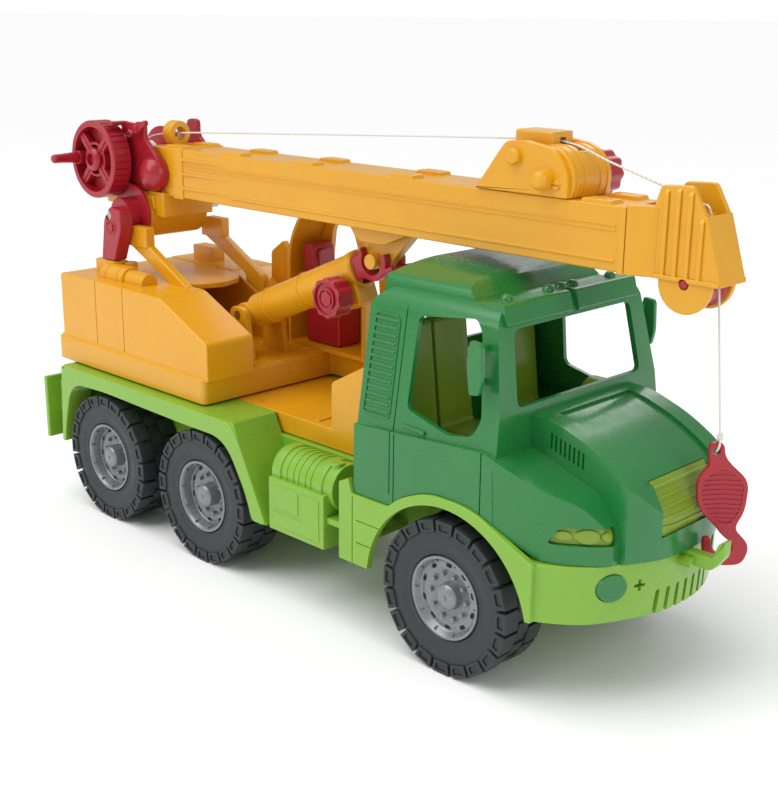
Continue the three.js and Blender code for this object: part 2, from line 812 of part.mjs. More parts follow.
// A gear's outline: straight-sided teeth, thinner than their gaps.
function gearOutline(teeth, pitchRadius, addendum, dedendum) {
  const points = [];
  const step = (2 * Math.PI) / teeth;
  for (let i = 0; i < teeth; i += 1) {
    for (const [share, rise] of [[-0.26, -dedendum], [-0.12, addendum], [0.12, addendum], [0.26, -dedendum]]) {
      const angle = (i + share) * step;
      const radius = pitchRadius + rise;
      points.push([radius * Math.cos(angle), radius * Math.sin(angle)]);
    }
  }
  return points;
}

// A knob with finger scallops round its rim.
function knob(radius, lobes, y0, y1) {
  const points = [];
  for (let i = 0; i < lobes * 4; i += 1) {
    const angle = (i / (lobes * 4)) * 2 * Math.PI;
    const reach = radius * (1 - 0.07 * (1 - Math.cos(lobes * angle)) / 2 - 0.02);
    points.push([reach * Math.cos(angle), reach * Math.sin(angle)]);
  }
  return plateY(points, y0, y1);
}

function extensionKnob() {
  const shaft = barY(0, 0, 3, -14, 22);
  const pinion = plateY(gearOutline(PINION_TEETH, PINION_RADIUS, 1.2, 1.6), -5, 5);
  return join([shaft, pinion, knob(13.5, 10, 21, 35)]);
}

function innerBoom() {
  const tube = box(-250, 63.6, -INNER_HALF_WIDTH, INNER_HALF_WIDTH, 235.5, 259.4);
  const room = box(-260, 70, -INNER_HALF_WIDTH + 2.5, INNER_HALF_WIDTH - 2.5, 238, 256.9);
  const teeth = [];
  const first = -27;
  for (let i = first; i <= 2; i += 1) {
    const x = PINION.x + i * RACK_PITCH;
    const tooth = [
      [x - 1.7, RACK_PITCH_Z - 2],
      [x + 1.7, RACK_PITCH_Z - 2],
      [x + 0.7, RACK_PITCH_Z + 1.2],
      [x - 0.7, RACK_PITCH_Z + 1.2],
    ];
    teeth.push(plateY(tooth, -4, 4));
  }
  return join([tube.subtract(room), ...teeth]);
}

function boomHead() {
  const funnelPlan = [
    [64.4, -18.6],
    [67, -18.6],
    [80, -12.5],
    [80, 12.5],
    [67, 18.6],
    [64.4, 18.6],
  ];
  const funnel = plateZ(funnelPlan, 231, 267.5);
  const cheek = [
    [77, 231],
    [118, 231],
    [107, 264, 2],
    [98, 279.5, 2],
    [80, 278.5, 2],
    [76, 266],
  ];
  const half = plateY(cheek, -12.5, -9).add(barY(TIP.x, TIP.y, 15.5, -12.5, -9));
  const ribs = [84, 91, 98, 105].map((x) => {
    const top = x < 100 ? 276 : 262;
    return box(x - 0.6, x + 0.6, -13.3, -12.3, 233, top);
  });
  const cheeks = bothSides(join([half, ...ribs]));
  const nose = plateY([[115, 231], [118, 231], [107, 265.5], [104, 264]], -12.5, 12.5);
  const guide = barY(97, 262, 2.2, -10, 10);
  const tenon = box(44, 66, -INNER_HALF_WIDTH + 3, INNER_HALF_WIDTH - 3, 238.6, 256.2);
  const room = box(69, 96, -9, 9, 236, 270);
  const axleHole = barY(TIP.x, TIP.y, 2.5 + GAP, -20, 20);
  return cut(join([funnel, cheeks, nose, guide, tenon]), [room.subtract(guide), axleHole]);
}

function tipPulley() {
  const profile = [
    [2.5 + GAP, -8.4],
    [PULLEY_RADIUS, -8.4],
    [PULLEY_RADIUS, -6],
    [12, -3],
    [12, 3],
    [PULLEY_RADIUS, 6],
    [PULLEY_RADIUS, 8.4],
    [2.5 + GAP, 8.4],
    [2.5 + GAP, -8.4],
  ];
  return turnedY(profile, 20);
}

// ---- winch ----
function winchFrame() {
  const cheek = [
    [-399, 247, 6],
    [-396, 267, 8],
    [-378, 272, 4],
    [-362, 272, 3],
    [-358, 283, 4],
    [-346, 283, 4],
    [-346, 272, 3],
    [-328, 256, 8],
    [-330, 236, 8],
    [-352, 235, 6],
    [-384, 240, 6],
  ];
  const near = plateY(cheek, -25.6, -22);
  const far = plateY(cheek, 22, 25.6);
  const tie = box(-358, -353.6, -25, 25, 238, 258);
  const boss = barY(-340, 247, 8, -25, -15.5);
  const dome = turnedY([[0, -32], [6, -31], [10.5, -28], [12.6, -24], [12.6, -18.6], [0, -18.6]], 12);
  const domeAt = dome.translate([-340, 0, 247]);
  const axleHole = barY(WINCH.x, WINCH.y, 4 + GAP, -40, 40);
  const pawlHole = barY(-352, 278, 2 + GAP, -40, -10);
  const solid = join([near, far, tie, bothSides(boss), bothSides(domeAt)]);
  return cut(solid, [axleHole, pawlHole]);
}

function winchDrum() {
  const profile = [
    [0, -44.6],
    [4, -44.6],
    [4, -19],
    [21, -18.6],
    [21, -16],
    [DRUM_RADIUS, -14],
    [DRUM_RADIUS, 14],
    [21, 16],
    [21, 18.6],
    [4, 19],
    [4, 27.5],
    [0, 27.5],
  ];
  return turnedY(profile, 20);
}

function winchWheel() {
  const inner = WHEEL_FACE_Y + 15;
  const rim = barY(0, 0, WINCH_WHEEL_RADIUS, WHEEL_FACE_Y, inner);
  const hollow = barY(0, 0, 23.5, WHEEL_FACE_Y - 1, WHEEL_FACE_Y + 8);
  const hub = barY(0, 0, 8.5, WHEEL_FACE_Y - 2, inner);
  const spokes = [45, 135].map((degrees) => {
    const geometry = new THREE.BoxGeometry(50, 7, 5).rotateY((degrees * Math.PI) / 180);
    return toSolid(geometry.translate(0, WHEEL_FACE_Y + 4.5, 0));
  });
  const bore = barY(0, 0, 4 + GAP, WHEEL_FACE_Y - 5, inner + 5);
  const teeth = plateY(gearOutline(18, 20.6, 1.6, 1.2), inner - 1, inner + 3.4);
  const handleSeat = barY(-20.5, 0, 2.6, WHEEL_FACE_Y - 1, WHEEL_FACE_Y + 8);
  const handleBoss = barY(-20.5, 0, 5, WHEEL_FACE_Y, WHEEL_FACE_Y + 9);
  const wheel = join([rim.subtract(hollow), hub, ...spokes, handleBoss, teeth]);
  return cut(wheel, [bore, handleSeat]);
}

function crankHandle() {
  const profile = [
    [0, -66],
    [2.6, -66],
    [3.2, -64.5],
    [4, WHEEL_FACE_Y - GAP],
    [2.2, WHEEL_FACE_Y - GAP],
    [2.2, WHEEL_FACE_Y + 7],
    [0, WHEEL_FACE_Y + 7],
  ];
  return turnedY(profile, 10);
}

function stringWrap() {
  const profile = [
    [DRUM_RADIUS + GAP, -8],
    [11, -7],
    [11, 7],
    [DRUM_RADIUS + GAP, 8],
    [DRUM_RADIUS + GAP, -8],
  ];
  return turnedY(profile, 12);
}

function pawlLever() {
  const side = [
    [-369, 280],
    [-369, 283],
    [-350, 282],
    [-340, 285],
    [-339, 282],
    [-350, 274.5],
    [-363, 278],
    [-367, 274],
  ];
  const arm = plateY(side, -29.4, -26);
  const tab = box(-370, -363, -41, -26, 280.2, 283);
  const stub = barY(-352, 278, 2, -27, -20.5);
  return join([arm, tab, stub]);
}

// ---- lift cylinder, drawn along its own X from the foot pivot ----
function liftTube() {
  const tube = barX(0, 0, LIFT_TUBE_RADIUS, 4, LIFT_TUBE_END);
  const eye = barY(0, 0, 8, -12.6, 12.6).intersect(box(-12, 12, -13, 13, -9, 9));
  const housing = box(LIFT_PINION.x - 12, LIFT_PINION.x + 11, -9, 9, -22.5, -6);
  const bore = barX(0, 0, LIFT_ROD_RADIUS + GAP, 12, LIFT_TUBE_END + 5);
  const rackWay = box(12, LIFT_TUBE_END + 5, -3.6, 3.6, -10.2, 0);
  const pinionRoom = barY(LIFT_PINION.x, LIFT_PINION.y, 7.4, -5.4, 5.4);
  const shaftHole = barY(LIFT_PINION.x, LIFT_PINION.y, 2.6 + GAP, -20, 20);
  const pinHole = barY(0, 0, 3 + GAP, -20, 20);
  return cut(join([tube, eye, housing]), [bore, rackWay, pinionRoom, shaftHole, pinHole]);
}

function liftRod() {
  const flat = box(46, 113, -3.3, 3.3, -10, -6.7);
  const rod = barX(0, 0, LIFT_ROD_RADIUS, 22, LIFT_TUBE_END + 6).subtract(flat);
  const pitch = (2 * Math.PI * 5.6) / 8;
  const teeth = [];
  for (let i = -12; i <= 1; i += 1) {
    const x = LIFT_PINION.x + (i + 0.5) * pitch;
    const line = LIFT_PINION.y + 5.6;
    const tooth = [
      [x - 0.5, line - 0.8],
      [x + 0.5, line - 0.8],
      [x + 1.1, line + 1.6],
      [x - 1.1, line + 1.6],
    ];
    teeth.push(plateY(tooth, -3, 3));
  }
  const ring = barY(LIFT_LENGTH, 0, 12.6, -9.5, 9.5);
  const seat = barY(LIFT_LENGTH, 0, 8.8, -20, 20);
  const mouth = box(LIFT_LENGTH - 6, LIFT_LENGTH + 20, -20, 20, 1, 20);
  const webRoom = box(LIFT_TUBE_END + 3, LIFT_LENGTH + 20, -4.6, 4.6, -30, 30);
  const lip = box(LIFT_LENGTH + 7, LIFT_LENGTH + 16, -9.5, 9.5, -10.6, -7.4);
  const collar = box(LIFT_TUBE_END + GAP, LIFT_TUBE_END + 9, -9.5, 9.5, -8, 7.5);
  return join([rod, ...teeth, collar, cut(join([ring, lip]), [seat, mouth, webRoom])]);
}

function liftKnob() {
  const shaft = barY(0, 0, 2.6, -14, 8);
  const pinion = plateY(gearOutline(8, 5.6, 0.8, 1.2), -5, 5);
  return join([shaft, pinion, knob(13.5, 10, -27, -14)]);
}

// ---- hook, drawn in its own plane: X across the plate, Z up, the eye at the origin ----
function hook() {
  const plate = [
    [-4, -3, 3],
    [-3, -8, 3],
    [-9, -16, 8],
    [-8, -32, 8],
    [3, -43, 5],
    [6, -47, 3],
    [13, -53, 4],
    [12, -58, 4],
    [5, -59, 4],
    [1.5, -54, 3],
    [1, -49, 1.5],
    [-3, -49, 1.5],
    [-3.5, -58, 6],
    [5, -65.5, 8],
    [19, -65, 8],
    [22.5, -54, 8],
    [13, -44, 4],
    [18, -34, 9],
    [19, -17, 9],
    [9, -8, 5],
    [5, -3, 3],
    [4, 4.5, 3.5],
    [-4, 4.5, 3.5],
  ];
  return plateY(plate, -2, 2).subtract(barY(0, 0, 2.2, -5, 5));
}

// ---- string ----
const STRING_EXIT = [109.9, 0, 229.2]; // where the string leaves the tip pulley
const HOOK_EYE = [111.6, 8, 140.8];
const STRING_KNOT = [112.7, 9.1, 147.2];
const STRING_OVER_BOOM = [
  [-384, 0, 267.2],
  [-342, 0, 274.5],
  [-190, 0, 284],
  [-24, 0, 293.4],
  [12, 0, 293.4],
  [40, 0, 285.4],
  [72, 0, 276.6],
  [96, 0, 269.7],
  [99.6, 0, 268.9],
  [101.5, 0, 266.4],
  [103.2, 0, 260.5],
  [106.4, 0, 246.5],
  [109.85, 0, 232],
  [109.95, 0, 229.8],
];

function cord(points, steps) {
  const section = new THREE.Shape();
  section.absarc(0, 0, STRING_RADIUS, 0, 2 * Math.PI);
  const route = new THREE.CurvePath();
  const corners = points.map((point) => new THREE.Vector3(...point));
  corners.slice(1).forEach((corner, i) => route.add(new THREE.LineCurve3(corners[i], corner)));
  const extrudePath = points.length > 2 ? new THREE.CatmullRomCurve3(corners) : route;
  return toSolid(new THREE.ExtrudeGeometry(section, { steps, extrudePath, curveSegments: 4 }));
}

// ---- assembly ----
const part = new THREE.Group();
const truck = place(part, FRONT_AXLE_X, 0, 0);

function addScrew(name, x) {
  const seat = place(truck, x, 0, 87.2);
  seat.rotation.x = Math.PI / 2;
  add(seat, name, screw(), STEEL, 0.35);
}

function assembleTruck() {
  add(truck, "chassis_frame", chassisFrame(), LIME);
  add(truck, "deck", deck(), YELLOW);
  add(truck, "cab_shell", cabShell(), GREEN);
  add(truck, "cab_interior", cabInterior(), OLIVE);
  add(truck, "fog_lamp_right", fogLamp(-1), GREEN);
  add(truck, "fog_lamp_left", fogLamp(1), GREEN);
  DECK_SCREWS_X.forEach((x, i) => addScrew(`deck_screw_${i + 1}`, x));
  CAB_SCREWS_X.forEach((x, i) => addScrew(`cab_screw_${i + 1}`, x));
  wheelSet("front", 0);
  wheelSet("middle", REAR_AXLES_X[0]);
  wheelSet("rear", REAR_AXLES_X[1]);
}

function assembleTurret() {
  const turret = place(truck, SLEW_X, 0, 0);
  addInPlace(turret, "turret_base", turretBase(), YELLOW);
  addInPlace(turret, "turret_clip", turretClip(), WHITE);
  addInPlace(turret, "operator_cab", operatorCab(), YELLOW);
  addInPlace(turret, "operator_seat", operatorSeat(), RED);
  addInPlace(turret, "boom_bracket_right", boomBracket(), RED);
  addInPlace(turret, "boom_bracket_left", mirrored(boomBracket()), RED);
  addInPlace(turret, "boom_pivot_pin", barY(BOOM_PIVOT.x, BOOM_PIVOT.y, 3, -49, 49), STEEL, 0.3);
  addInPlace(turret, "lift_foot_pin", barY(LIFT_FOOT.x, LIFT_FOOT.y, 3, -17.6, 17.6), STEEL, 0.3);
  assembleLift(turret);
  assembleBoom(turret);
}

function assembleLift(turret) {
  const lift = place(turret, LIFT_FOOT.x - SLEW_X, 0, LIFT_FOOT.y);
  lift.rotation.y = -LIFT_ANGLE;
  add(lift, "lift_tube", liftTube(), YELLOW);
  add(lift, "lift_rod", liftRod(), RED);
  const pinion = place(lift, LIFT_PINION.x, 0, LIFT_PINION.y);
  add(pinion, "lift_knob", liftKnob(), RED);
}

function assembleBoom(turret) {
  const boom = place(turret, BOOM_PIVOT.x - SLEW_X, 0, BOOM_PIVOT.y);
  addInPlace(boom, "outer_boom", outerBoom(), YELLOW);
  addInPlace(boom, "drive_housing", driveHousing(), YELLOW);
  addInPlace(boom, "winch_frame", winchFrame(), RED);
  addInPlace(boom, "pawl_lever", pawlLever(), RED);
  addInPlace(boom, "string_over_boom", cord(STRING_OVER_BOOM, 32), WHITE);
  const pinion = place(boom, PINION.x - BOOM_PIVOT.x, 0, PINION.y - BOOM_PIVOT.y);
  add(pinion, "extension_knob", extensionKnob(), RED);
  const winch = place(boom, WINCH.x - BOOM_PIVOT.x, 0, WINCH.y - BOOM_PIVOT.y);
  add(winch, "winch_drum", winchDrum(), RED);
  add(winch, "winch_wheel", winchWheel(), RED);
  add(winch, "string_wrap", stringWrap(), WHITE);
  const crank = place(winch, -20.5, 0, 0);
  add(crank, "crank_handle", crankHandle(), RED);
  assembleHead(boom);
}

function assembleHead(boom) {
  const inner = place(boom, 0, 0, 0);
  addInPlace(inner, "inner_boom", innerBoom(), YELLOW);
  addInPlace(inner, "boom_head", boomHead(), YELLOW);
  const tip = place(inner, TIP.x - BOOM_PIVOT.x, 0, TIP.y - BOOM_PIVOT.y);
  add(tip, "pulley_axle", barY(0, 0, 2.5, -13.4, 13.4), RED);
  add(tip, "tip_pulley", tipPulley(), RED);
  addInPlace(tip, "string_fall", cord([STRING_EXIT, STRING_KNOT], 2), WHITE);
  const hanger = place(truck, ...HOOK_EYE);
  hanger.rotation.z = Math.PI / 4;
  add(hanger, "hook", hook(), RED);
}

assembleTruck();
assembleTurret();

export default part;
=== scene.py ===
"""Toy crane truck in moulded plastic: each piece's finished shape and material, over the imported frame."""

import math

import bmesh
import bpy
from mathutils import Matrix, Vector


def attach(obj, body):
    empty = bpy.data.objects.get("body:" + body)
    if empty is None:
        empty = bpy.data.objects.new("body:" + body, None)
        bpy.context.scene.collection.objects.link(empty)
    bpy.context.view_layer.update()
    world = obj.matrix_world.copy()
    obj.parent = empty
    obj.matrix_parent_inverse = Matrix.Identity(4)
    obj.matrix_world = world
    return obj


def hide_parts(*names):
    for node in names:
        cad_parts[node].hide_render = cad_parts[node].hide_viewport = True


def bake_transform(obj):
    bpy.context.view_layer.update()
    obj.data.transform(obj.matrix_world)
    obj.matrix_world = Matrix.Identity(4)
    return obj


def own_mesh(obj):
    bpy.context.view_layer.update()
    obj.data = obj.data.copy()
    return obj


bl_info = {
    "name": "Toy crane truck",
    "version": (1, 0, 0),
    "blender": (4, 5, 0),
    "location": "View3D > Sidebar > Crane truck",
    "description": "Builds the finished pieces of a moulded plastic toy crane truck",
    "category": "Object",
}

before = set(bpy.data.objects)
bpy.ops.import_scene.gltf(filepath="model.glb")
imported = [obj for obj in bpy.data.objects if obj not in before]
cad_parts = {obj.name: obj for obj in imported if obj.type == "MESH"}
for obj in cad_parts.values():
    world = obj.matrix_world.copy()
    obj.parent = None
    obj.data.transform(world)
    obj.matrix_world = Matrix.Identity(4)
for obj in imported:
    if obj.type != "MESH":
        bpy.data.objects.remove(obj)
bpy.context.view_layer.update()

# Lengths are millimetres, measured along X from the front axle, with +Y to the driver's left.
MM_IN_A_METRE = 1000
FRONT_AXLE_X = 141.5
TO_METRES = Matrix.Scale(0.001, 4) @ Matrix.Translation((FRONT_AXLE_X, 0, 0))
REAR_AXLES_X = (-220.5, -331.5)
WHEEL_RADIUS = 46
TYRE_WIDTH = 34
RIM_RADIUS = 24.7
HALF_WIDTH = 81
AXLE_RADIUS = 2.4
GAP = 0.4
WALL = 3
DECK_TOP = 106.5
DECK_HALF = 42
FENDER_TOP = 106.5
ARCH_RADIUS = 60
ARCH_Z = 40
SLEW_X = -290
TURRET_FLOOR = 107.5
TURRET_HALF = 72
BAND_TOP = 125
BOX_TOP = 173
PIVOT_X, PIVOT_Z = -360, 217
BOOM_HALF = 18
BOOM_BOTTOM, BOOM_TOP = 231.5, 266
BOOM_FRONT_X = 64
WINCH_X, WINCH_Z = -384, 255
TIP_X, TIP_Z = 97, 230
PINION_X, PINION_Z = 12, 275.3
LIFT_FOOT = Vector((-254, 0, 156))
LIFT_PIN = Vector((-130, 0, 210))
LIFT_LENGTH = (LIFT_PIN - LIFT_FOOT).length
LIFT_ANGLE = math.atan2(LIFT_PIN.z - LIFT_FOOT.z, LIFT_PIN.x - LIFT_FOOT.x)
PIN_ROOM = 3.4
SCREWS_X = (-100, -374, 40, -64)
SCREW_ROOM = 2.2
AXLE_ROOM = 2.8
FOG_LAMP_Y, FOG_LAMP_Z, FOG_LAMP_RADIUS = -50, 73, 7.6
TANK_Y, TANK_Z, TANK_RADIUS = -62, 82, 15
MUFFLER_Y, MUFFLER_Z = -50, BOX_TOP + 1
DOME_X, DOME_Z = -340, 247
PAWL_X, PAWL_Z = -352, 278
BRACKET_PIN_X, BRACKET_PIN_Z = -357, 209
CRANK_X = -20.5
KNOB_RADIUS = 13.5
STRING_ROUTE = [
    (-384, 0, 267.2), (-342, 0, 274.5), (-190, 0, 284), (-24, 0, 293.4), (12, 0, 293.4),
    (40, 0, 285.4), (72, 0, 276.6), (96, 0, 269.7), (99.6, 0, 268.9), (101.5, 0, 266.4),
    (103.2, 0, 260.5), (106.4, 0, 246.5), (109.85, 0, 232), (109.95, 0, 229.8),
]
STRING_EXIT = (109.9, 0, 229.2)
STRING_KNOT = (112.7, 9.1, 147.2)
HOOK_EYE = (111.6, 8, 140.8)


# ---- sizes and colours a user may change ----
class CraneSizes(bpy.types.PropertyGroup):
    edge_radius: bpy.props.FloatProperty(
        name="Edge radius", description="Radius left by the mould on each outer edge",
        default=0.00055, min=0.0001, max=0.0009, precision=5, subtype="DISTANCE", unit="LENGTH",
    )
    tread_lugs: bpy.props.IntProperty(
        name="Tread lugs", description="Blocks round each shoulder of a tyre", default=20, min=12, max=30,
    )
    rim_holes: bpy.props.IntProperty(
        name="Rim holes", description="Ventilation holes round a rim", default=10, min=6, max=16,
    )
    string_diameter: bpy.props.FloatProperty(
        name="String diameter", description="Thickness of the twisted string",
        default=0.0012, min=0.0006, max=0.003, precision=4, subtype="DISTANCE", unit="LENGTH",
    )


def linear(hex_value):
    """An sRGB hex colour as the linear colour the shader takes."""
    parts = [int(hex_value[i : i + 2], 16) / 255 for i in (1, 3, 5)]
    return [p / 12.92 if p <= 0.04045 else ((p + 0.055) / 1.055) ** 2.4 for p in parts] + [1.0]


def colour_property(name, use, hex_value):
    return bpy.props.FloatVectorProperty(
        name=name, description=use, default=linear(hex_value)[:3], min=0, max=1, size=3, subtype="COLOR",
    )


class CraneColours(bpy.types.PropertyGroup):
    lime: colour_property("Lime", "Chassis, fenders and bumpers", "#80B234")
    green: colour_property("Green", "Cab and fog lamps", "#1E7A38")
    olive: colour_property("Olive", "Tray inside the cab, grille and headlamps", "#7C9A26")
    yellow: colour_property("Yellow", "Deck, turret and boom", "#E2A214")
    red: colour_property("Red", "Winch, knobs, brackets and hook", "#A81A2A")
    tyre: colour_property("Tyre", "Tyres", "#2B3132")
    silver: colour_property("Silver", "Rims", "#8C8E90")
    string: colour_property("String", "String", "#F1EEE6")


# ---- solids ----
AXIS_ORDER = {"X": (2, 0, 1), "Y": (0, 2, 1), "Z": (0, 1, 2)}


def mesh_of(points, faces):
    """A mesh of points and faces, with its faces turned outwards."""
    mesh = bpy.data.meshes.new("blank")
    mesh.from_pydata(points, [], faces)
    shape = bmesh.new()
    shape.from_mesh(mesh)
    bmesh.ops.recalc_face_normals(shape, faces=shape.faces)
    shape.to_mesh(mesh)
    shape.free()
    return mesh


def rounded(points, soft=0.0):
    """An outline of (a, b) or (a, b, radius) points with its corners rounded; soft is for unmarked ones."""
    corners = [Vector(point[:2]) for point in points]
    line = []
    for i, corner in enumerate(corners):
        before = corners[i - 1] - corner
        after = corners[(i + 1) % len(corners)] - corner
        wanted = points[i][2] if len(points[i]) > 2 else soft
        reach = min(wanted, 0.45 * min(before.length, after.length))
        if reach < 0.05:
            line.append(corner)
            continue
        start = corner + before.normalized() * reach
        end = corner + after.normalized() * reach
        steps = 2 if reach < 1 else 4 if reach < 5 else 7
        for k in range(steps + 1):
            t = k / steps
            line.append((1 - t) ** 2 * start + 2 * t * (1 - t) * corner + t * t * end)
    return line


def area_of(line):
    """The area inside an outline, above zero where it runs anticlockwise."""
    return sum(line[i - 1].x * p.y - p.x * line[i - 1].y for i, p in enumerate(line)) / 2


def shrunk(line, distance):
    """The outline moved inwards by a distance."""
    turn = 1 if area_of(line) > 0 else -1
    moved = []
    for i, here in enumerate(line):
        before = (here - line[i - 1]).normalized()
        after = (line[(i + 1) % len(line)] - here).normalized()
        half = max((1 + before.dot(after)) / 2, 0.3)
        push = (before + after) * (0.5 * distance * turn / half)
        moved.append(here + Vector((-push.y, push.x)))
    return moved


def inset(points, distance):
    """Marked outline points moved inwards, with their corner radii kept concentric."""
    moved = shrunk([Vector(point[:2]) for point in points], distance)
    radii = [max(point[2] - distance, 0) if len(point) > 2 else 0 for point in points]
    return [(p.x, p.y, r) for p, r in zip(moved, radii)]


def edge_radius():
    """The radius of the moulded edges in millimetres."""
    return bpy.context.scene.crane_sizes.edge_radius * MM_IN_A_METRE


def plate(axis, points, low, high, edge=None):
    """An outline run along an axis, with soft rims: (x, z) along Y, (y, z) along X and (x, y) along Z."""
    soft = edge_radius() if edge is None else edge
    soft = min(soft, 0.3 * (high - low))
    line = rounded(points, soft * 1.2)
    levels = [(low, 0), (high, 0)]
    if soft:
        near = [(0, 1), (0.3, 0.3), (1, 0)]
        levels = [(low + up * soft, side * soft) for up, side in near]
        levels += [(high - up * soft, side * soft) for up, side in reversed(near)]
    order = AXIS_ORDER[axis]
    count = len(line)
    verts = []
    for depth, side in levels:
        for p in shrunk(line, side) if side else line:
            verts.append(tuple((p.x, p.y, depth)[k] for k in order))
    faces = [list(range(count)), list(range((len(levels) - 1) * count, len(levels) * count))]
    for level in range(len(levels) - 1):
        for i in range(count):
            j = (i + 1) % count
            a = level * count
            faces.append([a + i, a + j, a + count + j, a + count + i])
    return mesh_of(verts, faces)


def cutter(axis, points, low, high):
    """A plate with sharp rims, for cutting and for bodies that are rounded later."""
    return plate(axis, points, low, high, edge=0)


def block(x0, x1, y0, y1, z0, z1, edge=None):
    """A box with soft edges."""
    return plate("Z", [(x0, y0), (x1, y0), (x1, y1), (x0, y1)], z0, z1, edge)


def bar(axis, a, b, radius, low, high, edge=None, sides=0):
    """A round bar along an axis, round the point (a, b) of the other two."""
    sides = sides or max(16, 4 * round(radius * 0.6 + 3))
    angles = [2 * math.pi * i / sides for i in range(sides)]
    circle = [(a + radius * math.cos(t), b + radius * math.sin(t), 0) for t in angles]
    return plate(axis, circle, low, high, edge)


def turned(profile, at=(0, 0, 0), sides=48, soft=0.35):
    """A closed profile of (radius, y) points turned about Y, with soft corners off the axis."""
    marked = [(p[0], p[1], 0 if p[0] == 0 else p[2] if len(p) > 2 else soft) for p in profile]
    verts, rings = [], []
    for p in rounded(marked):
        if p.x < 1e-6:
            rings.append([len(verts)] * sides)
            verts.append((at[0], at[1] + p.y, at[2]))
            continue
        rings.append([len(verts) + i for i in range(sides)])
        for i in range(sides):
            t = 2 * math.pi * i / sides
            verts.append((at[0] + p.x * math.cos(t), at[1] + p.y, at[2] + p.x * math.sin(t)))
    faces = []
    for i, ring in enumerate(rings):
        last = rings[i - 1]
        for k in range(sides):
            n = (k + 1) % sides
            face = list(dict.fromkeys([last[k], last[n], ring[n], ring[k]]))
            if len(face) > 2:
                faces.append(face)
    return mesh_of(verts, faces)


def worked(mesh, tools, operation):
    """The mesh after each tool is added to it, cut from it or kept in common with it."""
    host = bpy.data.objects.new("work", mesh)
    bpy.context.scene.collection.objects.link(host)
    helpers = []
    for tool in tools:
        helper = bpy.data.objects.new("tool", tool)
        bpy.context.scene.collection.objects.link(helper)
        step = host.modifiers.new("step", "BOOLEAN")
        step.operation = operation
        step.solver = "MANIFOLD"
        step.object = helper
        helpers.append(helper)
    made = bpy.data.meshes.new_from_object(host.evaluated_get(bpy.context.evaluated_depsgraph_get()))
    for used in [host, *helpers]:
        bpy.data.objects.remove(used)
    return made


def joined(first, *others):
    return worked(first, others, "UNION")


def cut(mesh, *tools):
    return worked(mesh, tools, "DIFFERENCE")


def common(mesh, *tools):
    return worked(mesh, tools, "INTERSECT")


def gathered(meshes):
    """Solids that stand apart from each other, as one mesh."""
    shape = bmesh.new()
    for mesh in meshes:
        shape.from_mesh(mesh)
    made = bpy.data.meshes.new("blank")
    shape.to_mesh(made)
    shape.free()
    return made


def moved(mesh, matrix):
    """A moved copy of a mesh, still facing outwards when the matrix mirrors it."""
    made = mesh.copy()
    made.transform(matrix)
    if matrix.determinant() < 0:
        made.flip_normals()
    return made


def shifted(mesh, x=0.0, y=0.0, z=0.0):
    return moved(mesh, Matrix.Translation((x, y, z)))


def mirrored(mesh):
    """A copy on the other side of the truck."""
    return moved(mesh, Matrix.Scale(-1, 4, (0, 1, 0)))


def pair(mesh):
    """The solid and its mirror image on the other side, which it doesn't touch."""
    return gathered([mesh, mirrored(mesh)])


def ringed(mesh, count, x=0.0, z=0.0):
    """Copies of a solid spread round the line along Y through (x, z)."""
    centre = Matrix.Translation((x, 0, z))
    turns = [Matrix.Rotation(2 * math.pi * i / count, 4, "Y") for i in range(count)]
    return gathered([moved(mesh, centre @ turn @ centre.inverted()) for turn in turns])


def bevelled(mesh, width, segments=3, angle=32):
    """The mesh with its corners rounded off."""
    host = bpy.data.objects.new("work", mesh)
    bpy.context.scene.collection.objects.link(host)
    step = host.modifiers.new("round", "BEVEL")
    step.width = width
    step.segments = segments
    step.limit_method = "ANGLE"
    step.angle_limit = math.radians(angle)
    step.use_clamp_overlap = True
    made = bpy.data.meshes.new_from_object(host.evaluated_get(bpy.context.evaluated_depsgraph_get()))
    bpy.data.objects.remove(host)
    return made


def finished(name, body, nodes, mesh, material, sharp=46, at=None):
    """One piece of the toy from its solid: it moves with a body and stands for its CAD nodes."""
    mesh.transform(TO_METRES @ (at or Matrix.Identity(4)))
    mesh.name = name
    mesh.shade_smooth()
    mesh.set_sharp_from_angle(angle=math.radians(sharp))
    mesh.materials.clear()
    mesh.materials.append(material)
    piece = bpy.data.objects.new(name, mesh)
    bpy.context.scene.collection.objects.link(piece)
    shading = piece.modifiers.new("Even shading", "WEIGHTED_NORMAL")
    shading.keep_sharp = True
    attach(piece, body)
    if nodes:
        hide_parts(*nodes)
    return piece


# ---- materials ----
def shade(colour, share=1.0):
    """A linear colour made darker or lighter by a share, with its alpha."""
    return [min(1.0, c * share) for c in colour[:3]] + [1.0]


def node(tree, kind, links=(), stops=(), **settings):
    """Adds a node with its colour stops, settings and input values, and links (socket, output) pairs."""
    made = tree.nodes.new("ShaderNode" + kind)
    for i, (position, colour) in enumerate(stops):
        made.color_ramp.elements[i].position = position
        made.color_ramp.elements[i].color = colour
    for key, value in settings.items():
        if hasattr(made, key):
            setattr(made, key, value)
        else:
            made.inputs[key.replace("_", " ")].default_value = value
    for socket, output in links:
        tree.links.new(output, made.inputs[socket])
    return made


def blank_material(name):
    """A material of that name with an empty node tree."""
    material = bpy.data.materials.get(name) or bpy.data.materials.new(name)
    material.use_nodes = True
    material.node_tree.nodes.clear()
    return material, material.node_tree


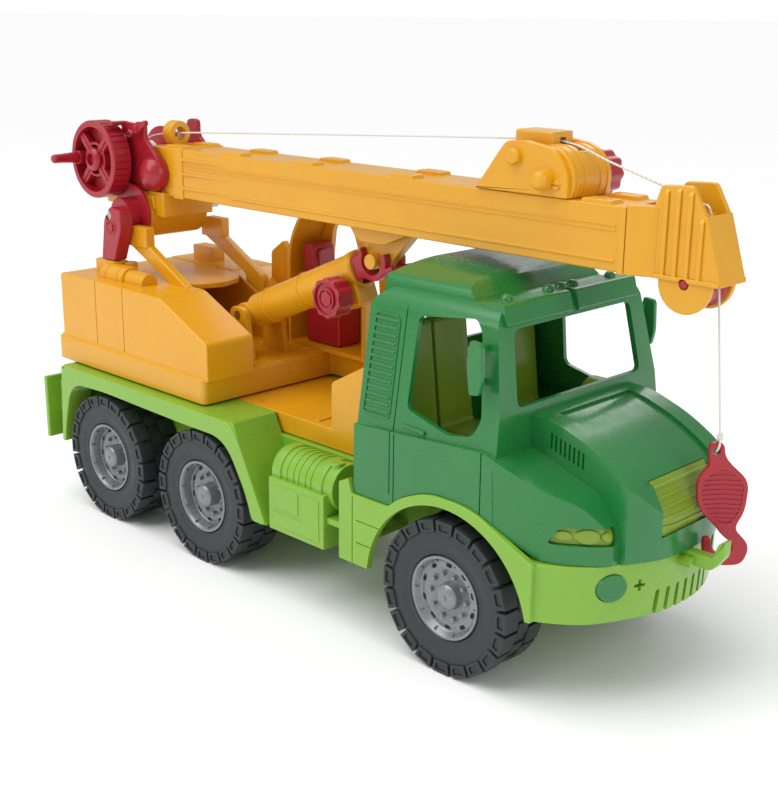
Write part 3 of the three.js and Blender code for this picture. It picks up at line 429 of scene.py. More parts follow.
def moulded(name, pigment, roughness, grain=0.4, depth=0.02, coat=0.0):
    """Injection-moulded plastic: flow clouds in the colour, a patchy polish and a fine tool texture.

    The texture's grain and depth are in millimetres.
    """
    material, tree = blank_material(name)
    place = node(tree, "TexCoord").outputs["Object"]
    # Pigment flows in clouds of about 30 mm; the polish of the tool varies over about 6 mm.
    clouds = node(tree, "TexNoise", [("Vector", place)], Scale=33.0, Detail=2.0).outputs["Fac"]
    polish = node(tree, "TexNoise", [("Vector", place)], Scale=160.0, Detail=3.0).outputs["Fac"]
    skin = node(tree, "TexNoise", [("Vector", place)], Scale=MM_IN_A_METRE / grain, Detail=2.0).outputs["Fac"]
    shades = [(0.3, shade(pigment, 0.97)), (0.7, shade(pigment, 1.02))]
    colour = node(tree, "ValToRGB", [("Fac", clouds)], shades).outputs["Color"]
    patchy = node(
        tree, "MapRange", [("Value", polish)],
        From_Min=0.3, From_Max=0.7, To_Min=roughness - 0.05, To_Max=roughness + 0.06,
    ).outputs["Result"]
    height = depth / MM_IN_A_METRE
    bump = node(tree, "Bump", [("Height", skin)], Strength=0.12, Distance=height).outputs["Normal"]
    surface = node(
        tree, "BsdfPrincipled",
        [("Base Color", colour), ("Roughness", patchy), ("Normal", bump)],
        IOR=1.49, Coat_Weight=coat, Coat_Roughness=0.12,
    )
    node(tree, "OutputMaterial", [("Surface", surface.outputs["BSDF"])])
    return material


def polypropylene_lime():
    """Moulded polypropylene: glossy and a little waxy, so highlights are bright with soft edges."""
    return moulded("Lime polypropylene, moulded", colours().lime, 0.3, coat=0.25)


def polypropylene_green():
    """Moulded polypropylene in a deep pigment: the gloss shows most on it."""
    return moulded("Green polypropylene, moulded", colours().green, 0.27, coat=0.3)


def polypropylene_olive():
    """Thin moulded polypropylene: a little duller than the outer mouldings."""
    return moulded("Olive polypropylene, thin moulded", colours().olive, 0.34, coat=0.1)


def polypropylene_yellow():
    """Moulded polypropylene with an opaque warm pigment."""
    return moulded("Yellow polypropylene, moulded", colours().yellow, 0.31, coat=0.2)


def polypropylene_red():
    """Moulded polypropylene in a cold red."""
    return moulded("Red polypropylene, moulded", colours().red, 0.33, coat=0.15)


def tyre_plastic():
    """Moulded soft plastic with a spark-eroded skin: satin, so the lugs have soft grey highlights."""
    return moulded("Charcoal polyethylene, spark-eroded", colours().tyre, 0.5, grain=0.9, depth=0.05)


def silver_plastic():
    """Plastic filled with aluminium flake: a grey, metal-like glow without a mirror."""
    material, tree = blank_material("Silver polystyrene, flake-filled")
    place = node(tree, "TexCoord").outputs["Object"]
    # Flakes of about 0.3 mm are drawn at 0.8 mm, the smallest that shows.
    flakes = node(tree, "TexVoronoi", [("Vector", place)], Scale=1250.0)
    shades = [(0.3, shade(colours().silver, 0.9)), (0.7, shade(colours().silver, 1.06))]
    tone = node(tree, "ValToRGB", [("Fac", flakes.outputs["Color"])], shades).outputs["Color"]
    skin = node(tree, "TexNoise", [("Vector", place)], Scale=900.0, Detail=2.0).outputs["Fac"]
    bump = node(tree, "Bump", [("Height", skin)], Strength=0.3, Distance=0.00003).outputs["Normal"]
    surface = node(
        tree, "BsdfPrincipled", [("Base Color", tone), ("Normal", bump)],
        Metallic=0.55, Roughness=0.36, IOR=1.55,
    )
    node(tree, "OutputMaterial", [("Surface", surface.outputs["BSDF"])])
    return material


def drawn_steel():
    """Drawn steel rod: bright, with fine lines along its length."""
    material, tree = blank_material("Steel rod, drawn")
    place = node(tree, "TexCoord").outputs["Object"]
    # Draw lines 0.2 mm apart are drawn 0.5 mm apart so that they show.
    stretch = node(tree, "Mapping", [("Vector", place)], Scale=(2000.0, 60.0, 2000.0)).outputs["Vector"]
    lines = node(tree, "TexNoise", [("Vector", stretch)], Scale=1.0, Detail=3.0).outputs["Fac"]
    shades = [(0.3, linear("#A9ACAE")), (0.7, linear("#C9CBCD"))]
    tone = node(tree, "ValToRGB", [("Fac", lines)], shades).outputs["Color"]
    bump = node(tree, "Bump", [("Height", lines)], Strength=0.3, Distance=0.00003).outputs["Normal"]
    surface = node(
        tree, "BsdfPrincipled", [("Base Color", tone), ("Normal", bump)], Metallic=1.0, Roughness=0.32,
    )
    node(tree, "OutputMaterial", [("Surface", surface.outputs["BSDF"])])
    return material


def white_acetal():
    """Moulded acetal, the slippery white plastic of clips."""
    return moulded("White acetal, moulded", linear("#ECE8DF"), 0.4)


def twisted_string():
    """Twisted cotton string: slanted strands 1 mm apart, matt, with a faint fuzz and painted shade in the
    grooves between strands.
    """
    material, tree = blank_material("White cotton string, twisted")
    place = node(tree, "TexCoord").outputs["Object"]
    slant = node(tree, "Mapping", [("Vector", place)], Rotation=(0.0, 0.9, 0.6)).outputs["Vector"]
    strands = node(tree, "TexWave", [("Vector", slant)], Scale=320.0, Distortion=0.6).outputs["Fac"]
    # The grooves between strands, low in the bump, are painted darker: painted shade between the strands.
    shades = [(0.3, shade(colours().string, 0.72)), (0.7, shade(colours().string))]
    tone = node(tree, "ValToRGB", [("Fac", strands)], shades).outputs["Color"]
    bump = node(tree, "Bump", [("Height", strands)], Strength=0.7, Distance=0.0002).outputs["Normal"]
    surface = node(
        tree, "BsdfPrincipled", [("Base Color", tone), ("Normal", bump)],
        Roughness=0.85, IOR=1.5, Sheen_Weight=0.3, Sheen_Roughness=0.5,
    )
    node(tree, "OutputMaterial", [("Surface", surface.outputs["BSDF"])])
    return material


def backdrop_card():
    """Matt coated card: nearly white, with no gloss of its own."""
    material, tree = blank_material("White card, matt coated")
    surface = node(
        tree, "BsdfPrincipled", Base_Color=linear("#FDFDFD"), Roughness=0.95, Specular_IOR_Level=0.1,
    )
    node(tree, "OutputMaterial", [("Surface", surface.outputs["BSDF"])])
    return material


def colours():
    return bpy.context.scene.crane_colours


# ---- stage ----
def make_camera():
    turn, tilt, roll = math.radians(44.4), math.radians(16.69), math.radians(0.61)
    right = Vector((math.cos(turn), math.sin(turn), 0))
    back = Vector((math.sin(turn) * math.cos(tilt), -math.cos(turn) * math.cos(tilt), math.sin(tilt)))
    up = back.cross(right)
    across = right * math.cos(roll) + up * math.sin(roll)
    upright = up * math.cos(roll) - right * math.sin(roll)
    lens = bpy.data.cameras.new("camera")
    lens.lens = 57.97
    lens.clip_start = 0.01
    lens.clip_end = 400
    camera = bpy.data.objects.new("camera", lens)
    bpy.context.scene.collection.objects.link(camera)
    facing = Matrix((across, upright, back)).transposed().to_4x4()
    camera.matrix_world = Matrix.Translation((0.5799, -0.5724, 0.3593)) @ facing
    bpy.context.scene.camera = camera


def area_light(name, place, target, size, watts):
    data = bpy.data.lights.new(name, "AREA")
    data.shape = "SQUARE"
    data.size = size
    data.energy = watts
    lamp = bpy.data.objects.new(name, data)
    bpy.context.scene.collection.objects.link(lamp)
    lamp.location = place
    lamp.rotation_euler = (Vector(target) - Vector(place)).to_track_quat("-Z", "Y").to_euler()


def make_stage():
    """A wide round card floor, a white surround and soft studio lamps."""
    sides, reach = 96, 150.0
    turns = [2 * math.pi * i / sides for i in range(sides)]
    rim = [(reach * math.cos(turn), reach * math.sin(turn), -0.0004) for turn in turns]
    floor = bpy.data.objects.new("floor", mesh_of(rim, [list(range(sides))]))
    bpy.context.scene.collection.objects.link(floor)
    floor.data.materials.append(backdrop_card())
    bpy.context.scene.world = white_surround()
    bpy.context.scene.view_settings.view_transform = "Standard"
    high = bpy.data.objects.new("overhead softbox", bpy.data.lights.new("overhead softbox", "SUN"))
    high.data.energy = 1.75
    high.data.angle = math.radians(55)
    high.rotation_euler = (math.radians(22), math.radians(-14), 0)
    bpy.context.scene.collection.objects.link(high)
    area_light("left softbox", (-0.7, -1.5, 1.1), (0, 0, 0.14), 0.8, 5.5)
    area_light("right softbox", (1.5, -0.2, 0.9), (0.1, 0, 0.18), 0.7, 4)
    area_light("rear softbox", (-0.6, 1.4, 1.2), (0, 0, 0.15), 0.8, 4)


def white_surround():
    """White all round, dimmer as a light than it looks, so that the toy keeps its shadows."""
    world = bpy.data.worlds.new("white surround")
    world.use_nodes = True
    tree = world.node_tree
    seen = node(tree, "LightPath").outputs["Is Camera Ray"]
    strength = node(tree, "MapRange", [("Value", seen)], To_Min=0.5, To_Max=1.0).outputs["Result"]
    tree.links.new(strength, tree.nodes["Background"].inputs["Strength"])
    tree.nodes["Background"].inputs["Color"].default_value = linear("#FFFFFF")
    return world


# ---- strings ----
def curve_points(route, steps):
    """Points along a smooth line through the route."""
    ends = [route[0] * 2 - route[1], *route, route[-1] * 2 - route[-2]]
    line = []
    for a, b, c, d in zip(ends, ends[1:], ends[2:], ends[3:]):
        for k in range(steps):
            t = k / steps
            line.append(
                0.5 * (
                    2 * b + (c - a) * t + (
                        2 * a - 5 * b + 4 * c - d
                    ) * t**2 + (3 * b - a - 3 * c + d) * t**3
                )
            )
    return [*line, route[-1]]


def tube(line, radius, sides=10):
    """A closed round tube along a line of points."""
    verts, faces = [], []
    across = Vector((0, 1, 0))
    for i, point in enumerate(line):
        ahead = (line[min(i + 1, len(line) - 1)] - line[max(i - 1, 0)]).normalized()
        across = (across - ahead * across.dot(ahead)).normalized()
        side = ahead.cross(across)
        for k in range(sides):
            t = 2 * math.pi * k / sides
            verts.append(point + (across * math.cos(t) + side * math.sin(t)) * radius)
    for i in range(len(line) - 1):
        for k in range(sides):
            n = (k + 1) % sides
            a = i * sides
            faces.append([a + k, a + n, a + sides + n, a + sides + k])
    faces += [list(range(sides)), list(range(len(verts) - sides, len(verts)))]
    return mesh_of(verts, faces)


def make_string_over_boom():
    diameter = bpy.context.scene.crane_sizes.string_diameter
    over = curve_points([Vector(p) for p in STRING_ROUTE], 8)
    piece = finished(
        "string_over_the_boom", "boom", ["string_over_boom"], tube(over, diameter * MM_IN_A_METRE / 2),
        twisted_string(), sharp=80,
    )
    piece.parent = None
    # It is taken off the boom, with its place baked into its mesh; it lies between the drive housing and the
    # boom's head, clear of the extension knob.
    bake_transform(piece)


def make_hanging_string(*on_it):
    """The string from the boom's head to its knot; the pieces that hang on it are passed in but not used."""
    diameter = bpy.context.scene.crane_sizes.string_diameter
    ends = Vector(STRING_EXIT), Vector(STRING_KNOT)
    fall = [ends[0].lerp(ends[1], i / 24) for i in range(25)]
    tube_mesh = tube(fall, diameter * MM_IN_A_METRE / 2)
    hung = finished(
        "hanging_string_to_the_hook", "hanging_string", ["string_fall"], tube_mesh, twisted_string(),
        sharp=80,
    )
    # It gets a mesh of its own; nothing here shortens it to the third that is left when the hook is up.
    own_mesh(hung)


# ---- wheels ----
def tyre_mesh():
    half = TYRE_WIDTH / 2
    lugs = bpy.context.scene.crane_sizes.tread_lugs
    carcass = turned(
        [
            (RIM_RADIUS + 0.1, -half + 3.2), (26.5, -half + 1.6, 0.8), (28, -half + 2.2, 0.8),
            (33, -half + 1.2, 2), (39.5, -half + 1.2, 2), (44.4, -half + 4, 2), (44.6, 0),
            (44.4, half - 4, 2), (39.5, half - 1.2, 2), (33, half - 1.2, 2), (28, half - 2.2, 0.8),
            (26.5, half - 1.6, 0.8), (RIM_RADIUS + 0.1, half - 3.2),
        ],
        sides=80,
    )
    span = math.tan(math.radians(180 / lugs * 0.88))
    lug = [
        (-38.6 * span, -38.6, 1.2), (38.6 * span, -38.6, 1.2), (46 * span, -46, 0.9),
        (-46 * span, -46, 0.9),
    ]
    panel = [
        (-40 * span * 0.62, -40.2, 0.8), (40 * span * 0.62, -40.2, 0.8), (44 * span * 0.62, -44.2, 0.8),
        (-44 * span * 0.62, -44.2, 0.8),
    ]
    shoulder = cut(plate("Y", lug, -half, -5.6, 0.7), cutter("Y", panel, -half - 1, -half + 0.9))
    middle = plate(
        "Y", [(-3.6, -42, 0.8), (3.6, -42, 0.8), (3.8, -45.8, 0.8), (-3.8, -45.8, 0.8)], -4.6, 4.6, 0.6,
    )
    middle = moved(middle, Matrix.Rotation(math.pi / lugs, 4, "Y"))
    return joined(carcass, ringed(shoulder, lugs), ringed(mirrored(shoulder), lugs), ringed(middle, lugs))


def rim_mesh(deep):
    half = TYRE_WIDTH / 2
    holes = bpy.context.scene.crane_sizes.rim_holes
    bore = AXLE_RADIUS + GAP / 2
    face = -half + (9 if deep else 5.4)
    dish = [
        (0, -half + 1.8), (4.6, -half + 1.8, 0.8), (7.6, -half + 3.4, 1), (8, face + 2.6, 0.6),
        (11, face + 2.2, 1), (15.6, face + 0.6, 1), (17, face, 1), (20.6, face + 0.4, 1),
        (22.2, -half + 3, 1), (23.2, -half + 1.4, 0.5), (RIM_RADIUS, -half + 1.6, 0.5),
        (RIM_RADIUS, half - 4), (RIM_RADIUS - 2, half - 4), (20, face + 5), (8, face + 6), (7, half - 6),
        (bore, half - 6), (bore, -half + 6), (0, -half + 6),
    ]
    hole_turn = Matrix.Rotation(math.pi / holes, 4, "Y")
    slot = [(-2.3, -20.2, 1.2), (2.3, -20.2, 1.2), (2, -17.6, 1.1), (-2, -17.6, 1.1)]
    bolt = bar("Y", 0, -13.2, 1.25, face - 1.2, face + 3, 0.4, 12)
    small = bar("Y", 0, -21.7, 0.55, -half + 1.6, -half + 5, 0.2, 8)
    wheel = turned(dish, sides=72)
    wheel = cut(wheel, ringed(cutter("Y", slot, -half, face + 2.6), holes))
    bolts = ringed(moved(bolt, hole_turn), holes)
    return joined(
        wheel, bolts, ringed(moved(small, hole_turn), holes),
        bar("Y", 0, 0, 1.6, -half + 1.2, -half + 3, 0.3, 16),
    )


def make_wheels():
    tyre, rubber, silver = tyre_mesh(), tyre_plastic(), silver_plastic()
    rims = {"front": rim_mesh(False), "middle": rim_mesh(True), "rear": rim_mesh(True)}
    turns = {"front": 0, "middle": 4, "rear": 11}
    for row, x in zip(("front", "middle", "rear"), (0, *REAR_AXLES_X)):
        for side, sign in (("right", -1), ("left", 1)):
            seat = Matrix.Translation((x, sign * (HALF_WIDTH - TYRE_WIDTH / 2), WHEEL_RADIUS))
            name = f"{row}_{side}"
            body = f"{row}_wheels"
            face = rims[row].copy() if sign < 0 else mirrored(rims[row])
            spin = Matrix.Rotation(math.radians(turns[row]), 4, "Y")
            finished(f"{name}_wheel_rim", body, [f"{name}_rim"], face, silver, sharp=40, at=seat @ spin)
            finished(f"{name}_wheel_tyre", body, [f"{name}_tyre"], tyre.copy(), rubber, sharp=40, at=seat)


# ---- chassis ----
FENDER_LINE = [
    (-390, 46, 3), (-386, FENDER_TOP, 12), (-184, FENDER_TOP, 12), (-152, 45, 5), (-166, 45, 3),
    (-172, 62, 8), (-192, 94, 16), (-240, 94, 8), (-330, 96, 10), (-374, 94, 20), (-384, 60, 10),
    (-386, 46, 1),
]
LIP_TOP = [(-73, 89), (-44, 89, 3), (-34, 97, 7), (-14, 105.5, 12), (18, 105.5, 14), (48, 92, 8), (62, 86)]
BUMPER_PLAN = [
    (30, -HALF_WIDTH), (58, -HALF_WIDTH, 12), (84, -64, 14), (104, -22, 20),
    (104, 22, 20), (84, 64, 14), (58, HALF_WIDTH, 12), (30, HALF_WIDTH),
]


def rear_fenders():
    skirt = plate("Y", FENDER_LINE, -HALF_WIDTH, -HALF_WIDTH + WALL)
    top = block(-384, -184, -HALF_WIDTH + 1, -DECK_HALF - GAP, FENDER_TOP - WALL, FENDER_TOP)
    wall = [(-184, FENDER_TOP), (-152, 45, 4), (-156, 45), (-188, FENDER_TOP - WALL)]
    front = plate("Y", wall, -HALF_WIDTH + 1, -44)
    rear = block(-388, -385, -HALF_WIDTH + 1, -44, 60, FENDER_TOP - 2)
    inner = [(x, z, r[0] if r else 0) for x, z, *r in FENDER_LINE[4:]]
    rim = [*inner, *reversed(inset_open(inner, 3.2))]
    arch_lip = plate("Y", rim, -HALF_WIDTH + 1, -62, 0.4)
    return joined(skirt, top, front, rear, arch_lip)


def inset_open(points, distance):
    """An open line moved sideways by a distance."""
    line = []
    for i, (a, b, r) in enumerate(points):
        before = Vector(points[max(i - 1, 0)][:2])
        after = Vector(points[min(i + 1, len(points) - 1)][:2])
        along = (after - before).normalized()
        line.append((a + along.y * distance, b - along.x * distance, max(r - distance, 0)))
    return line


def frame_tub():
    outer = cut(
        block(-390, 70, -46, 46, 60, 93),
        cutter("Z", [(-386, -43), (66, -43), (66, 43), (-386, 43)], 50, 90),
    )
    blocks = gathered([block(x - 8, x + 8, -45, 45, 40, 92) for x in (*REAR_AXLES_X, 0)])
    rear_wall = block(-390, -386.5, -45, 45, 60, FENDER_TOP)
    plate_back = block(-412, -408, -HALF_WIDTH, HALF_WIDTH, 44, 92, 0.9)
    arms = pair(block(-409, -385, -70, -48, 62, 88))
    return joined(outer, blocks, rear_wall, plate_back, arms)


def front_arch():
    lip = [(-84, 45), (-84, 94), (-76, 98), *LIP_TOP, (62, 53), (-20, 45)]
    panel = plate("Y", lip, -HALF_WIDTH, -HALF_WIDTH + WALL + 1)
    room = bar("Y", 0, ARCH_Z, ARCH_RADIUS, -90, -60, 0, 96)
    steps = gathered([
        cutter("Z", [(-69, -90), (-20, -90), (-20, -80.3), (-69, -80.3)], z, z + 0.8)
        for z in (59, 73)
    ])
    post_line = cutter("Z", [(-72.6, -90), (-71.8, -90), (-71.8, -80.3), (-72.6, -80.3)], 40, 88)
    return cut(panel, room, joined(steps, post_line))


def bumper():
    shell = cut(plate("Z", BUMPER_PLAN, 53, 86, 0.9), cutter("Z", inset(BUMPER_PLAN, 4), 50, 83))
    room = bar("Y", 0, ARCH_Z, ARCH_RADIUS, -90, 90, 0, 96)
    slot = cutter("X", [(-2.2, 50), (0.9, 50), (3.2, 67, 0.8), (0.3, 67, 0.8)], 94, 112)
    slots = gathered([shifted(slot, y=y) for y in (-24, -16, -8, 0, 8, 16, 24)])
    seats = pair(bar("X", FOG_LAMP_Y, FOG_LAMP_Z, FOG_LAMP_RADIUS + GAP, 60, 110, 0, 40))
    cross = joined(
        cutter("X", [(-37.4, 71.2), (-31, 71.2), (-31, 73), (-37.4, 73)], 86, 112),
        cutter("X", [(-35.2, 69), (-33.4, 69), (-33.4, 75.4), (-35.2, 75.4)], 86, 112),
    )
    bridge = cut(block(50, 88, -40, 40, 62, 84), room)
    shell = cut(shell, room, slots, seats, cross)
    return joined(shell, bridge)


def tow_prong():
    line = [(98, 78.5), (122, 78.5, 3), (129, 88, 2), (129, 97, 1), (125, 95, 2), (122, 86, 2), (98, 86)]
    stub = bar("X", -6, 80.5, 3.2, 98, 112, 0.6)
    return joined(plate("Y", line, -5, 2, 0.8), stub)


def side_boxes():
    locker = block(-149, -98, -HALF_WIDTH + 0.6, -66, 45, 80, 0.8)
    face = [(-145, 49, 1), (-102, 49, 1), (-102, 76, 1), (-118, 76, 1), (-118, 58, 1), (-145, 58, 1)]
    panel = plate("Y", face, -HALF_WIDTH, -HALF_WIDTH + 2, 0.4)
    inner = [(-145, 61, 1), (-121, 61, 1), (-121, 76, 1), (-145, 76, 1)]
    panel_two = plate("Y", inner, -HALF_WIDTH, -HALF_WIDTH + 2, 0.4)
    tank = bar("X", TANK_Y, TANK_Z, TANK_RADIUS, -150, -94, 0.9, 56)
    straps = gathered([
        bar("X", TANK_Y, TANK_Z, TANK_RADIUS + 1, x - 3.5, x + 3.5, 0.7, 56)
        for x in (-144, -106)
    ])
    flutes = gathered([
        bar("X", TANK_Y, TANK_Z, TANK_RADIUS + 0.6, x - 1.1, x + 1.1, 0.4, 56)
        for x in (-136, -130, -125, -119, -114)
    ])
    cap = bar("Z", -100, -66, 4.2, 92, 98.2, 0.7, 24)
    saddle = block(-150, -94, -66, -44, 62, 90)
    foot = block(-98, -73, -60, -44, 62, 88)
    brace = block(-98, -82, -78, -58, 62, 66)
    return joined(locker, panel, panel_two, tank, straps, flutes, cap, saddle, foot, brace)


def screw_shafts():
    return gathered([bar("Z", x, 0, SCREW_ROOM, 50, 110, 0, 16) for x in SCREWS_X])


def make_chassis():
    side = joined(rear_fenders(), front_arch(), side_boxes(), block(-84, -60, -HALF_WIDTH + 2, -45, 62, 66))
    whole = joined(frame_tub(), side, mirrored(side), bumper(), tow_prong())
    axles = gathered([bar("Y", x, WHEEL_RADIUS, AXLE_ROOM, -60, 60, 0, 20) for x in (*REAR_AXLES_X, 0)])
    whole = cut(whole, axles, screw_shafts())
    finished("lime_chassis_moulding", "truck", ["chassis_frame"], whole, polypropylene_lime())
    face = cutter("Z", inset(BUMPER_PLAN, -0.9), 55, 95)
    lens = bevelled(common(bar("X", FOG_LAMP_Y, FOG_LAMP_Z, FOG_LAMP_RADIUS, 76, 110, 0, 48), face), 0.7)
    for side_name, lamp in (("right", lens), ("left", mirrored(lens))):
        finished(
            f"{side_name}_fog_lamp_lens", "truck", [f"fog_lamp_{side_name}"], lamp, polypropylene_green(),
        )


def make_deck():
    slab = block(-385, -75, -DECK_HALF, DECK_HALF, 93.4, DECK_TOP, 0.8)
    room = cutter("Z", [(-381, -39), (-79, -39), (-79, 39), (-381, 39)], 92, 103)
    line = [(-132, 104), (-132, 137, 3), (-108, 150), (-78, 166, 2), (-75, 166, 1), (-75, 104)]
    gusset = plate("Y", line, -DECK_HALF, -DECK_HALF + WALL)
    seat = bar("Z", SLEW_X, 0, 22, 97, DECK_TOP - 1)
    posts = gathered([bar("Z", x, 0, 5, 93.4, 104, 0.2) for x in SCREWS_X[:2]])
    ribs = gathered([block(x, x + 2, -38, 38, 105, 107.6, 0.4) for x in (-150, -128, -106)])
    whole = joined(cut(slab, room), pair(gusset), seat, posts, ribs)
    pilots = gathered([bar("Z", x, 0, SCREW_ROOM, 90, 103, 0, 16) for x in SCREWS_X[:2]])
    whole = cut(whole, bar("Z", SLEW_X, 0, 12.4, 80, 120, 0, 48), pilots)
    finished("yellow_deck_moulding", "truck", ["deck"], whole, polypropylene_yellow())


# ---- cab ----
CAB_PLAN = [
    (-73, -79), (36, -79, 16), (66, -74, 14), (90, -56, 12), (107, -24, 14),
    (107, 24, 14), (90, 56, 12), (66, 74, 14), (36, 79, 16), (-73, 79),
]
FENDER_SIDE = [(-73, 70), (92, 70), (91, 104, 6), (80, 119, 10), (48, 130, 14), (24, 138, 8), (-73, 132)]
HOOD_SIDE = [
    (-73, 70), (109, 70), (108, 106, 6), (95, 130, 10), (72, 144, 16), (46, 153, 8), (30, 154), (-73, 132),
]
UPPER_SIDE = [(-73, 96), (33, 96), (30, 156), (21, 203), (18, 212, 3), (-62, 212, 4), (-73, 203, 4)]
UPPER_FRONT = [
    (-79, 96), (79, 96), (79, 130), (76, 133), (65, 205, 5), (58, 212, 4),
    (-58, 212, 4), (-65, 205, 5), (-76, 133), (-79, 130),
]
LAMP_BOX = (58, 100, 48, 73, 97, 107)
CAB_WALL = 3


def rounded_body(mesh, depth, width):
    """The outer body, at no depth, with its corners rounded off; a hollow keeps sharp ones."""
    return mesh if depth else bevelled(mesh, width)


def lower_body(depth):
    fenders = cutter("Y", inset(FENDER_SIDE, depth), -HALF_WIDTH, HALF_WIDTH)
    hood = cutter("Y", inset(HOOD_SIDE, depth), -46 + depth, 46 - depth)
    whole = common(joined(fenders, hood), cutter("Z", inset(CAB_PLAN, depth), 60, 200))
    return rounded_body(whole, depth, 1.6)


def upper_body(depth):
    side = cutter("Y", inset(UPPER_SIDE, depth), -90, 90)
    whole = common(side, cutter("X", inset(UPPER_FRONT, depth), -80, 40))
    return rounded_body(whole, depth, 2.4)


def roof_fairing(depth):
    across = [(-58, 200), (58, 200), (55, 217, 4), (28, 224, 16), (-28, 224, 16), (-55, 217, 4)]
    along = [(-71, 200), (0, 200), (-2, 212, 3), (-14, 221, 5), (-64, 226, 3), (-71, 218, 3)]
    whole = common(cutter("X", inset(across, depth), -80, 10), cutter("Y", inset(along, depth), -70, 70))
    return rounded_body(whole, depth, 1.4)


DOOR_WINDOW = [
    (-36, 148, 4), (-4, 140, 4), (13, 143, 4), (18, 153, 4), (11, 199, 5), (6, 205, 3), (-35, 200, 4),
]


def window_cuts():
    screen = [(-57, 159, 5), (57, 159, 5), (53, 200, 5), (-53, 200, 5)]
    rear = [(-44, 168, 4), (44, 168, 4), (44, 200, 4), (-44, 200, 4)]
    return [cutter("Y", DOOR_WINDOW, -90, 90), cutter("X", screen, 6, 50), cutter("X", rear, -80, -60)]


def grille_window(gap):
    return cutter("Y", inset([(83, 121), (104, 98), (116, 108), (98, 130)], gap), -27 + gap, 27 - gap)


def lamp_window(gap):
    x0, x1, y0, y1, z0, z1 = LAMP_BOX
    line = [
        (y0 + gap, z0 + gap, 2), (y1 - gap, z0 + gap, 2), (y1 - gap - 3, z1 - gap, 2),
        (y0 + gap, z1 - gap, 2),
    ]
    return pair(cutter("X", line, x0 + gap, x1 - gap))


def side_frame():
    """The plane of the right upper side: X along it, Z up its slope and -Y out of it, from its lower edge."""
    lean = math.atan2(11, 72)
    return Matrix.Translation((0, -76, 133)) @ Matrix.Rotation(-lean, 4, "X")


def side_details():
    """Ribbed panel with its frame, and door handle of the right side."""
    place = side_frame()
    panel = [(-70, 6, 3), (-48, 6, 3), (-48, 66, 6), (-68, 66, 3)]
    ring = cut(plate("Y", panel, -0.7, 2, 0.3), cutter("Y", inset(panel, 1.1), -3, 4))
    ribs = gathered([bar("X", 0, 9.5 + 4.4 * i, 1.15, -68, -49.4, 0.5, 16) for i in range(13)])
    handle = plate("Y", [(-37, 5.2), (-20, 3.2, 0.4), (-20, 5.8, 0.6), (-37, 6.4)], -1.2, 2, 0.3)
    grip = bar("Y", -21.2, 4.6, 1.3, -1.6, 1, 0.4, 12)
    return gathered([moved(ring, place), moved(joined(ribs, handle, grip), place)])


def side_grooves():
    """Door gaps and the vent slots of the right side."""
    outline = [(-90, 96), (-78.1, 96), (-78.1, 130.5), (-75.2, 133.6), (-64.4, 205), (-90, 205)]
    gaps = [
        cutter("X", outline, -44.6, -43.8),
        cutter("X", [(-90, 84), (-78, 84), (-78, 133), (-90, 133)], -41.2, -40.4),
    ]
    gaps.append(cutter("X", [(-90, 84), (-77.6, 84), (-77.6, 142), (-90, 142)], 23.2, 24))
    vents = []
    for i in range(8):
        x, z = 44 + 3 * i, 137.6 - 0.9 * i
        vents.append(cutter("Y", [(x, z), (x + 1.3, z), (x + 1.3, z + 9), (x, z + 9)], -50, -44.7))
    return gathered([*gaps, *vents])


def cab_trim():
    visor = [(8, 205), (20, 201, 1), (23, 203, 1), (20, 214, 2), (8, 214)]
    visors = pair(plate("Y", visor, 2.5, 60))
    lamp = turned([(0, 0), (3.6, 0), (3.6, 4.4, 1.2), (2.2, 6.6, 1.6), (0, 7)], sides=24)
    upright = Matrix.Rotation(math.radians(90), 4, "X")
    lamps = gathered([
        moved(lamp, Matrix.Translation((11, y, 210)) @ upright)
        for y in (-47, -11, 0, 11, 47)
    ])
    line = [(14, 168, 2), (22, 169, 2), (24, 178, 3), (23, 197, 3), (15, 198, 2), (13, 186, 2)]
    mirror = plate("Y", line, -HALF_WIDTH, -77.6, 0.8)
    arms = gathered([block(12, 17, -79, -62, z, z + 4) for z in (172, 190)])
    return visors, lamps, pair(joined(mirror, arms))


def make_cab():
    visors, lamps, mirrors = cab_trim()
    hood_line = rounded(HOOD_SIDE[1:7])
    top = [p for p in hood_line if 34 < p.x < 97 and p.y > 118]
    band = [(p.x, p.y + 3) for p in top] + [(p.x - 0.9, p.y - 1.5) for p in reversed(top)]
    hollow_hood = cutter("Y", band, -33, 33)
    details = side_details()
    outside = joined(lower_body(0), upper_body(0), roof_fairing(0))
    outside = joined(cut(outside, hollow_hood), visors, lamps, mirrors, details, mirrored(details))
    hollow = joined(lower_body(CAB_WALL), upper_body(CAB_WALL), roof_fairing(CAB_WALL))
    lip_room = [(p[0], p[1] + GAP, p[2] if len(p) > 2 else 0) for p in LIP_TOP]
    below = cutter("Y", [(-80, 40), (-80, 89.4), *lip_room, (120, 86.4), (120, 40)], -90, 90)
    tub_room = cutter("Z", [(-80, -46.4), (80, -46.4), (80, 46.4), (-80, 46.4)], 80, 93.4)
    grooves = side_grooves()
    shell = cut(
        outside, hollow, below, tub_room, grille_window(0), lamp_window(0), *window_cuts(), grooves,
        mirrored(grooves),
    )
    posts = [
        bar("Z", -64, 0, 4.6, 93.4, 128, 0.2), block(-71, -64, -1.5, 1.5, 94, 128),
        bar("Z", 40, 0, 4.6, 93.4, 151, 0.2),
    ]
    pilots = gathered([bar("Z", x, 0, SCREW_ROOM, 90, 103, 0, 16) for x in SCREWS_X[2:]])
    shell = cut(joined(shell, *posts), pilots)
    finished("green_cab_moulding", "truck", ["cab_shell"], shell, polypropylene_green(), sharp=38)


